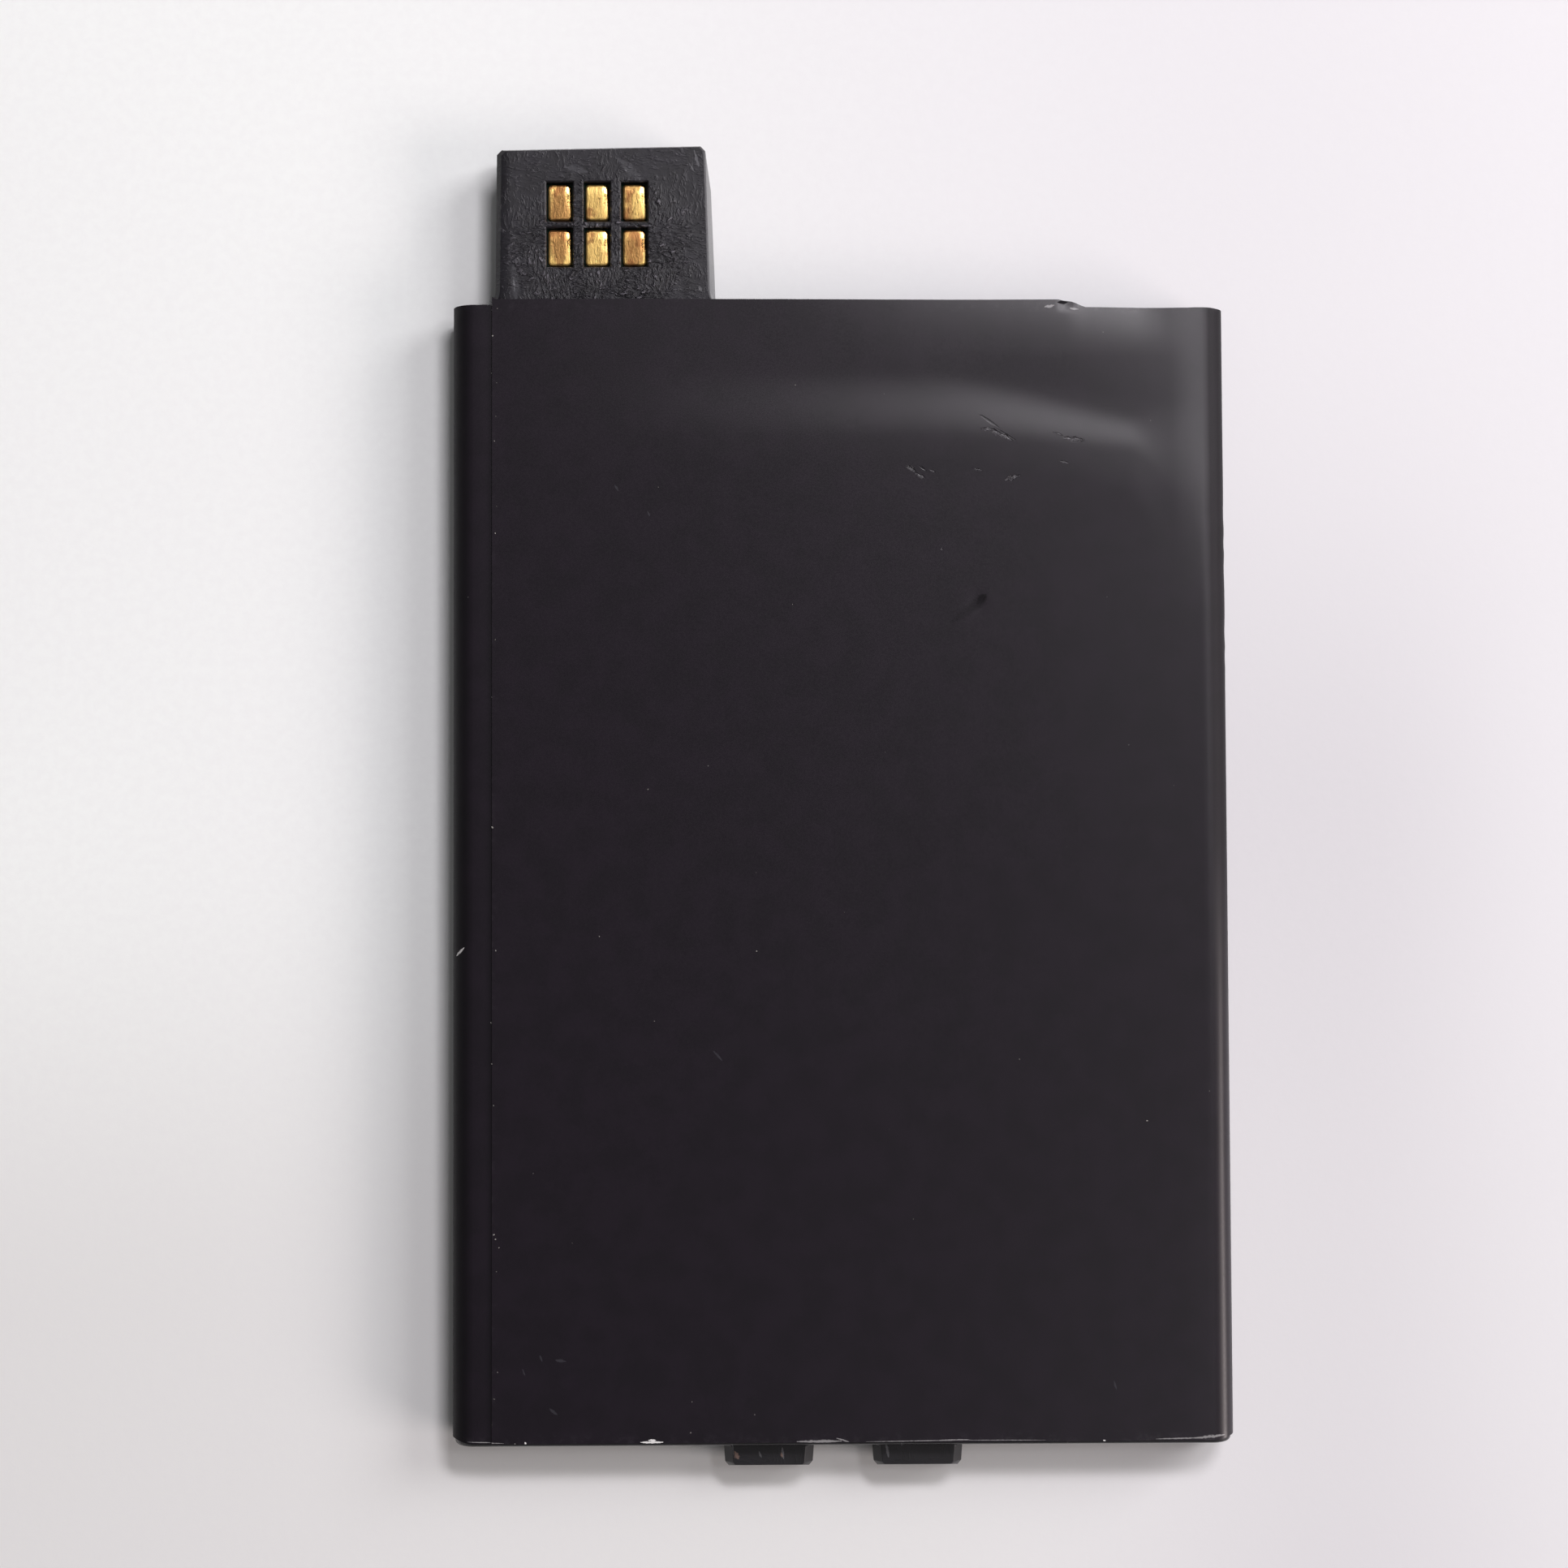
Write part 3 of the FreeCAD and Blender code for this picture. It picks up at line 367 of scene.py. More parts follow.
mouldingFinish = {
    "base": tone(25, 23, 28), "pale": tone(33, 31, 37), "footBase": tone(12, 11, 12), "footShare": 0.55,
    "roughness": 0.44, "sideRoughness": 0.2, "scrapePolish": 0.12,
    "tabFrom": (46.0, 47.0), "marginX": -27.1, "marginRoll": 0.2, "grainScale": 9.0, "grainHeight": 0.002,
    "textureScale": 2.6, "textureHeight": 0.55, "textureCentre": (-19.6, 51.6, 0.0), "textureReach": 9.4,
    "footTexture": 0.25, "scrapeHeight": 0.006, "dust": {"Scale": 1.1, "Size": 0.05, "Share": 0.22},
    "smears": [((-18.2, 59.3), (-16.2, 57.3), 1.1), ((-26.9, 50.4), (-26.7, 47.6), 0.9),
               ((-22.6, 58.6), (-20.8, 58.2), 0.8)],
    "scrapes": [((-11.5, 48.6), (-11.3, 48.2), 0.3), ((-11.9, 60.0), (-11.5, 58.6), 0.3),
                ((-26.9, 49.3), (-26.8, 48.2), 0.2), ((-12.3, 58.9), (-11.9, 58.2), 0.16),
                ((-9.1, -46.5), (-9.0, -47.7), 0.16), ((3.5, -46.8), (3.7, -47.9), 0.34),
                ((4.7, -46.5), (4.8, -47.0), 0.16), ((9.1, -46.7), (9.2, -47.1), 0.2),
                ((-5.0, -47.1), (-4.9, -48.0), 0.3), ((-6.9, -47.4), (-6.7, -47.9), 0.22)],
    "coppery": [((-8.9, -47.4), (-8.6, -48.0), 0.5), ((-5.1, -47.5), (-5.0, -47.9), 0.24)],
    "raggedness": {"scrapes": 0.8, "coppery": 0.8, "smears": 0.5},
    "layers": {"glints": (0.6, tone(128, 124, 132)), "smears": (0.1, tone(140, 140, 146)),
               "scrapes": (0.25, tone(150, 150, 154)), "coppery": (0.4, tone(150, 122, 108)),
               "dust": (0.3, tone(160, 158, 158))},
}


def makeMouldingFinish(look):
    material, tree, socket, place = newFinish("moulding")
    spark = placeGroup(tree, sparkTexture, place, {"Scale": look["textureScale"]})
    grain = placeGroup(tree, fineGrain, place, {"Scale": look["grainScale"]})
    axes = axesOf(tree, place)
    onTab = fade(tree, axes[1], *look["tabFrom"])
    upward = axesOf(tree, addNode(tree, "ShaderNodeNewGeometry").outputs["True Normal"])[2]
    isFace = fade(tree, calc(tree, "ABSOLUTE", upward), 0.55, 0.8)  # drafted sides are smooth
    away = vecCalc(tree, "SUBTRACT", place, look["textureCentre"])
    away = vecCalc(tree, "LENGTH", vecCalc(tree, "MULTIPLY", away, (1.0, 1.25, 0.0)))
    patchy = plus(tree, away, times(tree, noise(tree, place, 0.5, 2.0), 4.0))
    eroded = fade(tree, patchy, look["textureReach"] * 0.6, look["textureReach"] * 1.2, 1.0, 0.12)
    masks = drawMarks(tree, place, look)
    masks["glints"] = times(tree, spark["Glint"], eroded, onTab)
    masks["dust"] = placeGroup(tree, dustVeil, place, look["dust"])["Mask"]
    color = mixColor(tree, fade(tree, grain["Tone"], 0.35, 0.65), look["base"], look["pale"])
    color = mixColor(tree, fade(tree, onTab, 0.0, 1.0, look["footShare"], 0.0), color, look["footBase"])
    color = coat(tree, color, masks, look["layers"])
    rough = fade(tree, spark["Height"], 0.3, 0.7, look["roughness"] + 0.06, look["roughness"] - 0.08)
    rough = minus(tree, rough, times(tree, masks["scrapes"], look["scrapePolish"]))
    rough = mixValue(tree, isFace, look["sideRoughness"], rough)
    bumpy = fade(tree, onTab, 0.0, 1.0, look["footTexture"], 1.0, smooth=False)  # the feet are smoother
    bumpy = times(tree, bumpy, eroded, isFace)
    height = times(tree, spark["Height"], look["textureHeight"], bumpy)
    height = plus(tree, height, times(tree, grain["Height"], look["grainHeight"]))
    height = minus(tree, height, times(tree, squarePast(tree, look["marginX"], axes[0]), look["marginRoll"]),
                   times(tree, masks["scrapes"], look["scrapeHeight"]))
    dress(tree, socket, color, rough, height)
    return material


# plated contacts: gold, rubbed by the mating springs, darker where the plating is thin

contactFinish = {
    "bright": tone(231, 194, 118), "dull": tone(162, 115, 70), "thin": tone(120, 78, 44), "roughness": 0.40,
    "polished": 0.16, "scratchHeight": 0.012, "hairHeight": 0.01,
    "hairs": {"Scale": 5.0, "Angle": 0.15, "Cover": 0.9},
    "darkerPads": [((-23.1, 57.0), (-23.1, 50.6), 3.2), ((-16.9, 53.2), (-16.9, 50.4), 3.0)], "darkerPadShare": 0.8,
    "middle": (-20.0, 53.8), "pitch": (3.1, 3.8),
    "rollFrom": 0.28, "roll": 0.28, "topFrom": 0.55, "topRoll": 0.15,
}


def withinPitch(tree, value, start, pitch):  # how far from the middle of its own repeat
    return minus(tree, calc(tree, "FLOORED_MODULO", minus(tree, value, start), pitch), pitch / 2)


def makeContactFinish(look):
    material, tree, socket, place = newFinish("contactPlating", Metallic=1.0)
    broad = noise(tree, place, 0.55, 3.0, 0.6)
    rubbed = noise(tree, vecCalc(tree, "MULTIPLY", place, (4.0, 1.2, 1.0)), 1.6, 4.0, 0.65, 0.6)
    pitted = noise(tree, place, 7.0, 4.0, 0.6)
    hairs = placeGroup(tree, hairScratches, place, look["hairs"])["Mask"]
    # the left column and the lower right pad are darker
    darkerPadShare = times(tree, strokes(tree, place, look["darkerPads"], 0.5), look["darkerPadShare"])
    clean = minus(tree, fade(tree, broad, 0.32, 0.5), darkerPadShare, clamp=True)
    color = mixColor(tree, clean, look["dull"], look["bright"])
    color = mixColor(tree, fade(tree, rubbed, 0.3, 0.45, 0.5, 0.0), color, look["thin"])
    axes = axesOf(tree, place)
    (middleX, middleY), (pitchX, pitchY) = look["middle"], look["pitch"]
    across = withinPitch(tree, axes[0], middleX - pitchX / 2, pitchX)
    along = withinPitch(tree, axes[1], middleY, pitchY)
    polished = times(tree, fade(tree, across, look["rollFrom"] + 0.1, look["rollFrom"] + 0.4),
                     fade(tree, along, -0.9, 0.6))
    rough = fade(tree, pitted, 0.3, 0.7, look["roughness"] - 0.12, look["roughness"] + 0.1)
    rough = mixValue(tree, polished, rough, look["polished"])
    height = plus(tree, times(tree, rubbed, look["scratchHeight"] * 3),
                  times(tree, pitted, look["scratchHeight"]))
    height = times(tree, height, fade(tree, polished, 0.0, 1.0, 1.0, 0.3, smooth=False))
    rolled = squarePast(tree, across, look["rollFrom"])
    rolled = times(tree, rolled, fade(tree, along, -1.3, 1.0, 0.3, 1.0), look["roll"])
    topRolled = times(tree, squarePast(tree, along, look["topFrom"]), look["topRoll"])
    height = minus(tree, height, rolled, topRolled, times(tree, hairs, look["hairHeight"]))
    dress(tree, socket, color, rough, height)
    return material


# finishes of the sealed contents: two tones, a range of roughness and the height of the surface

sealedFinish = {
    "pouch": {"tones": (tone(176, 178, 182), tone(206, 207, 210)), "roughness": (0.3, 0.42), "height": 0.08,
              "grainScale": 3.0, "grainHeight": 0.004},
    "lead": {"tones": (tone(182, 180, 172), tone(214, 212, 204)), "roughness": (0.24, 0.4), "height": 0.006},
    "laminate": {"tones": (tone(18, 62, 44), tone(26, 82, 56)), "roughness": (0.26, 0.38), "height": 0.006,
                 "grainScale": 5.0, "grainHeight": 0.003, "weaveScale": 1.6, "weaveBend": 0.6},
    "chip": {"tones": (tone(32, 32, 34), tone(48, 48, 50)), "roughness": (0.42, 0.6), "height": 0.006,
             "grainScale": 14.0, "pins": tone(196, 196, 190), "pinTop": (2.96, 3.0)},
    "ceramic": {"tones": (tone(128, 104, 78), tone(160, 134, 102)), "roughness": (0.34, 0.55),
                "height": 0.004, "grainScale": 16.0},
    "foam": {"tones": (tone(40, 40, 42), tone(74, 74, 78)), "roughness": (0.95, 0.75), "height": 0.08,
             "cellScale": 5.0},
    "tape": {"tones": (tone(214, 206, 186), tone(236, 230, 214)), "roughness": (0.5, 0.7), "height": 0.01},
    "lint": {"tones": (tone(70, 68, 66), tone(150, 147, 142)), "roughness": 0.9},
}


def makePouchFinish(look):
    material, tree, socket, place = newFinish("pouchFoil", Metallic=0.85)
    grain = placeGroup(tree, fineGrain, place, {"Scale": look["grainScale"]})["Height"]
    crumple = noise(tree, place, 0.22, 5.0, 0.6, 0.4)
    color = mixColor(tree, fade(tree, crumple, 0.35, 0.65), *look["tones"])
    height = plus(tree, times(tree, crumple, look["height"]), times(tree, grain, look["grainHeight"]))
    dress(tree, socket, color, fade(tree, grain, 0.3, 0.7, *look["roughness"]), height)
    return material


def makeLeadFinish(look):
    material, tree, socket, place = newFinish("leadMetal", Metallic=1.0)
    brushed = noise(tree, vecCalc(tree, "MULTIPLY", place, (6.0, 0.3, 1.0)), 2.5, 4.0, 0.65)
    color = mixColor(tree, fade(tree, brushed, 0.35, 0.65), *look["tones"])
    rough = fade(tree, brushed, 0.3, 0.7, *look["roughness"])
    dress(tree, socket, color, rough, times(tree, brushed, look["height"]))
    return material


def makeLaminateFinish(look):  # solder mask over a woven core
    material, tree, socket, place = newFinish("laminate")
    threads = {"Vector": place, "Scale": look["weaveScale"], "Distortion": look["weaveBend"]}
    weave = addNode(tree, "ShaderNodeTexWave", threads).outputs[1]
    cross = addNode(tree, "ShaderNodeTexWave", threads, bands_direction="Y").outputs[1]
    cloth = times(tree, weave, cross)
    grain = placeGroup(tree, fineGrain, place, {"Scale": look["grainScale"]})["Height"]
    height = plus(tree, times(tree, cloth, look["height"]), times(tree, grain, look["grainHeight"]))
    dress(tree, socket, mixColor(tree, cloth, *look["tones"]),
          fade(tree, grain, 0.3, 0.7, *look["roughness"]), height)
    return material


def makeChipFinish(look):  # moulded epoxy, tin on the pins low down
    material, tree, socket, place = newFinish("chipPackage")
    grain = placeGroup(tree, fineGrain, place, {"Scale": look["grainScale"]})["Height"]
    pins = fade(tree, axesOf(tree, place)[2], *look["pinTop"], 1.0, 0.0)
    body = mixColor(tree, fade(tree, grain, 0.35, 0.65), *look["tones"])
    tree.links.new(pins, socket["Metallic"])
    dress(tree, socket, mixColor(tree, pins, body, look["pins"]),
          fade(tree, grain, 0.3, 0.7, *look["roughness"]), times(tree, grain, look["height"]))
    return material


def makeCeramicFinish(look):
    material, tree, socket, place = newFinish("chipCeramic")
    grain = placeGroup(tree, fineGrain, place, {"Scale": look["grainScale"]})["Height"]
    mottled = noise(tree, place, 3.0, 3.0)
    dress(tree, socket, mixColor(tree, fade(tree, mottled, 0.35, 0.65), *look["tones"]),
          fade(tree, grain, 0.3, 0.7, *look["roughness"]), times(tree, grain, look["height"]))
    return material


def makeFoamFinish(look):
    material, tree, socket, place = newFinish("foam")
    cells = addNode(tree, "ShaderNodeTexVoronoi", {"Vector": place, "Scale": look["cellScale"]})
    cells = cells.outputs["Distance"]
    dress(tree, socket, mixColor(tree, cells, *look["tones"]),
          fade(tree, cells, 0.0, 0.6, *look["roughness"]), times(tree, cells, look["height"]))
    return material


def makeTapeFinish(look):
    material, tree, socket, place = newFinish("tape")
    fibres = noise(tree, vecCalc(tree, "MULTIPLY", place, (0.4, 3.0, 3.0)), 3.0, 4.0, 0.6)
    dress(tree, socket, mixColor(tree, fibres, *look["tones"]),
          fade(tree, fibres, 0.3, 0.7, *look["roughness"]), times(tree, fibres, look["height"]))
    return material


def makeLintFinish(look):
    material, tree, socket, place = newFinish("lint", Roughness=look["roughness"])
    spread = noise(tree, place, 3.0, 3.0)
    tree.links.new(mixColor(tree, fade(tree, spread, 0.3, 0.7), *look["tones"]), socket["Base Color"])
    return material


finishes = {
    "film": makeFilmFinish(filmFinish), "moulding": makeMouldingFinish(mouldingFinish),
    "contact_plating": makeContactFinish(contactFinish), "pouch": makePouchFinish(sealedFinish["pouch"]),
    "lead_metal": makeLeadFinish(sealedFinish["lead"]),
    "laminate": makeLaminateFinish(sealedFinish["laminate"]),
    "chip_package": makeChipFinish(sealedFinish["chip"]),
    "chip_ceramic": makeCeramicFinish(sealedFinish["ceramic"]),
    "foam": makeFoamFinish(sealedFinish["foam"]), "tape": makeTapeFinish(sealedFinish["tape"]),
}
lint = makeLintFinish(sealedFinish["lint"])
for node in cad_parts.values():
    for slot in node.material_slots:
        slot.material = finishes[slot.material.name.split(".")[0]] if slot.material else finishes["moulding"]
print("finishes ready:", ", ".join(finishes))


# the wrapped film: a sheet that follows the pack's cross-section, built by geometry nodes

wrapFilm = {
    "halfWidth": 32.0, "front": 4.60, "strip": 4.40, "cornerRadius": 1.9, "thickness": 0.10, "sink": 0.03,
    "seamX": -28.6, "tuckedX": -25.6, "bottom": -46.35, "top": 46.7, "rows": 150, "crowding": 0.62,
    "frontColumns": 160, "backColumns": 58, "cornerColumns": 10, "stripColumns": 8,
    "sagDepth": 0.54, "sagLine": 8.2, "sagDrop": 3.0, "sagDropFrom": 7.0, "sagDropTo": 31.0, "sagWidth": 5.4,
    "sagSlim": 0.7, "sagTail": 0.35, "sagNarrow": 0.55, "sagSoften": 4.5, "sagLeft": -25.4,
    "sagFadeLeft": 42.0, "sagRight": 36.0, "sagFadeRight": 5.0,
    "rimFall": 0.27, "rimStart": 4.4, "rimLeft": -8.0, "rimFade": 32.0, "rimRight": 30.6,
    "rimFadeRight": 6.0,
    "shoulderFall": 0.18, "shoulderFrom": 27.4, "shoulderTo": 30.3, "shoulderLow": 0.3,
    "tongueReach": 0.65, "tongueEnd": 19.0, "tongueSlope": 1.4,
    "tornX": 18.9, "tornBack": 0.14, "tornDown": 0.06, "frontSlack": 0.02, "backSlack": 0.03,
    # the next line also sets how strongly the upper right fold is darkened as painted shade
    "rubbed": 0.02, "ripple": 0.02, "wearAndShade": 0.9, "outOfSquare": 0.15, "leftStep": 0.22, "cornerCut": 0.3,
    "dent": {"x": 11.2, "y": 22.0, "length": 2.5, "width": 1.1, "turn": 0.65, "depth": 0.05},
}
# inputs of the tree, named like the values above
sleeveSizes = [
    "Bottom", "Top", "Crowding", "Sag Depth", "Sag Line", "Sag Drop", "Sag Drop From", "Sag Drop To",
    "Sag Width", "Sag Slim", "Sag Tail", "Sag Narrow", "Sag Soften", "Sag Left", "Sag Fade Left",
    "Sag Right", "Sag Fade Right", "Rim Fall", "Rim Start", "Rim Left", "Rim Fade", "Rim Right",
    "Rim Fade Right", "Tongue Reach", "Tongue End", "Tongue Slope",
]


def filmOutline(film):  # seam edge, front, round the back, ends tucked under the lap
    half, radius = film["halfWidth"], film["cornerRadius"]
    front, strip = film["front"] - film["sink"], film["strip"]
    inset = half - radius
    points = [(x, front) for x in np.linspace(film["seamX"], inset, film["frontColumns"])]

    def corner(centreX, centreZ, start):
        steps = film["cornerColumns"]
        for step in range(1, steps + 1):
            angle = math.radians(start - 90 * step / steps)
            points.append((centreX + radius * math.cos(angle), centreZ + radius * math.sin(angle)))

    corner(inset, front - radius, 90)
    points.append((half, front / 2))
    points.append((half, radius))
    corner(inset, radius, 0)
    points += [(x, 0.0) for x in np.linspace(inset, -inset, film["backColumns"])[1:]]
    corner(-inset, radius, -90)
    points.append((-half, strip - radius))
    corner(-inset, strip - radius, -180)
    points += [(x, strip) for x in np.linspace(-inset, film["tuckedX"], film["stripColumns"])[1:]]
    return points


def finishSheet(tree, out, shape, material):  # how every geometry tree here ends
    real = addNode(tree, "GeometryNodeRealizeInstances", {0: shape})
    last = addNode(tree, "GeometryNodeSetMaterial", {"Geometry": real.outputs[0], "Material": material})
    tree.links.new(last.outputs[0], out[0])


def makeSleeveTree():
    sockets = {"Outline": "NodeSocketGeometry", "Columns": 10, "Rows": 10, "Front Columns": 5,
               "Upper Columns": 8}
    sockets.update({label: 0.0 for label in sleeveSizes})
    sockets["Material"] = "NodeSocketMaterial"
    tree, given, out = newGroup("wrapSleeve", "GeometryNodeTree", sockets, ["Sheet"])
    sheet = addNode(tree, "GeometryNodeMeshGrid",
                    {"Vertices X": given["Columns"], "Vertices Y": given["Rows"]})
    index = addNode(tree, "GeometryNodeInputIndex").outputs[0]
    column = calc(tree, "FLOOR", calc(tree, "DIVIDE", plus(tree, index, 0.01), given["Rows"]))
    row = minus(tree, index, times(tree, column, given["Rows"]))
    point = addNode(tree, "GeometryNodeInputPosition").outputs[0]
    read = addNode(tree, "GeometryNodeSampleIndex", {"Geometry": given["Outline"], "Index": column},
                   data_type="FLOAT_VECTOR", domain="POINT")
    tree.links.new(point, [s for s in read.inputs if s.name == "Value" and s.enabled][0])
    around = axesOf(tree, [s for s in read.outputs if s.enabled][0])
    isFront = calc(tree, "LESS_THAN", column, given["Front Columns"])
    sinks = times(tree, calc(tree, "LESS_THAN", column, given["Upper Columns"]),
                  fade(tree, around[2], 2.2, 4.5, smooth=False))  # the fold sinks with the face beside it
    share = calc(tree, "DIVIDE", row, minus(tree, given["Rows"], 1.0))
    packed = minus(tree, times(tree, share, plus(tree, given["Crowding"], 1.0)),
                   times(tree, given["Crowding"], times(tree, share, share)))
    length = minus(tree, given["Top"], given["Bottom"])
    along = plus(tree, given["Bottom"], times(tree, packed, length))
    fromEnd = minus(tree, given["Top"], along)
    # the panel falls behind a bent line, then rolls over at the rim
    left = fade(tree, around[0], given["Sag Left"], plus(tree, given["Sag Left"], given["Sag Fade Left"]))
    right = fade(tree, around[0], minus(tree, given["Sag Right"], given["Sag Fade Right"]),
                 given["Sag Right"], 1.0, 0.0)
    bend = fade(tree, around[0], given["Sag Drop From"], given["Sag Drop To"])
    slim = minus(tree, 1.0, times(tree, given["Sag Slim"], bend))
    line = plus(tree, given["Sag Line"], times(tree, given["Sag Drop"], bend))
    narrow = minus(tree, 1.0, times(tree, bend, given["Sag Narrow"]))
    halfWidth = times(tree, given["Sag Width"], 0.5, narrow,
                      fade(tree, around[0], 24.0, 29.5, 1.0, given["Sag Soften"]))
    slope = fade(tree, fromEnd, minus(tree, line, halfWidth), plus(tree, line, halfWidth), 1.0, 0.0)
    soft = fade(tree, fromEnd, minus(tree, line, times(tree, halfWidth, 1.8)),
                plus(tree, line, times(tree, halfWidth, 3.4)), 1.0, 0.0)
    slope = mixValue(tree, given["Sag Tail"], slope, soft)
    sag = times(tree, times(tree, given["Sag Depth"], slim), times(tree, slope, left), right)
    rim = fade(tree, fromEnd, 0.0, given["Rim Start"], 1.0, 0.0, smooth=False)
    rimSpread = fade(tree, around[0], given["Rim Left"], plus(tree, given["Rim Left"], given["Rim Fade"]))
    rimEnd = fade(tree, around[0], minus(tree, given["Rim Right"], given["Rim Fade Right"]),
                  given["Rim Right"], 1.0, 0.0)
    rolled = times(tree, given["Rim Fall"], times(tree, rimSpread, rimEnd), times(tree, rim, rim))
    fall = times(tree, plus(tree, sag, rolled), sinks)
    # the tongue runs on past the end of the sleeve
    ahead = fade(tree, fromEnd, 0.0, 3.0, given["Tongue Reach"], 0.0, smooth=False)
    stops = fade(tree, around[0], given["Tongue End"],
                 plus(tree, given["Tongue End"], given["Tongue Slope"]), 1.0, 0.0, smooth=False)
    grow = times(tree, ahead, stops, isFront)
    place = addNode(tree, "ShaderNodeCombineXYZ", {0: around[0], 1: plus(tree, along, grow),
                                                   2: minus(tree, around[2], fall)}).outputs[0]
    moved = addNode(tree, "GeometryNodeSetPosition", {"Geometry": sheet.outputs[0], "Position": place})
    small = addNode(tree, "GeometryNodeTransform", {"Geometry": moved.outputs[0], "Scale": (mm, mm, mm)})
    finishSheet(tree, out, small.outputs[0], given["Material"])
    return tree


def runNodes(obj, tree, values):  # inputs go in by identifier before the first evaluation
    modifier = obj.modifiers.new(tree.name, "NODES")
    modifier.node_group = tree
    names = {item.name: item.identifier for item in tree.interface.items_tree if item.in_out == "INPUT"}
    for label, value in values.items():
        modifier[names[label]] = value


def bakeMesh(obj, name):  # the evaluated result as a plain mesh on a fresh object
    graph = bpy.context.evaluated_depsgraph_get()
    mesh = bpy.data.meshes.new_from_object(obj.evaluated_get(graph))
    mesh.name = name
    piece = bpy.data.objects.new(name, mesh)
    scene.collection.objects.link(piece)
    bpy.data.objects.remove(obj)
    return piece


def makeFilm(film, finish):
    outline = filmOutline(film)
    mesh = bpy.data.meshes.new("filmOutline")
    mesh.from_pydata([(x, 0, z) for x, z in outline], [(i, i + 1) for i in range(len(outline) - 1)], [])
    former = bpy.data.objects.new("filmFormer", mesh)
    scene.collection.objects.link(former)
    values = {"Columns": len(outline), "Rows": film["rows"], "Front Columns": film["frontColumns"],
              "Upper Columns": film["frontColumns"] + film["cornerColumns"], "Material": finish}
    for label in sleeveSizes:
        values[label] = film[label[0].lower() + label[1:].replace(" ", "")]
    runNodes(former, makeSleeveTree(), values)
    wall = former.modifiers.new("wall", "SOLIDIFY")
    wall.thickness = film["thickness"] * mm
    wall.offset = -1.0
    piece = bakeMesh(former, "film_sleeve")
    wearFilm(piece.data, film, len(outline) * film["rows"])
    return piece


def smoothStep(value):
    value = np.clip(value, 0, 1)
    return value * value * (3 - 2 * value)


def storeValue(mesh, name, values):
    mesh.attributes.new(name, "FLOAT", "POINT").data.foreach_set("value", values.astype(np.float32))


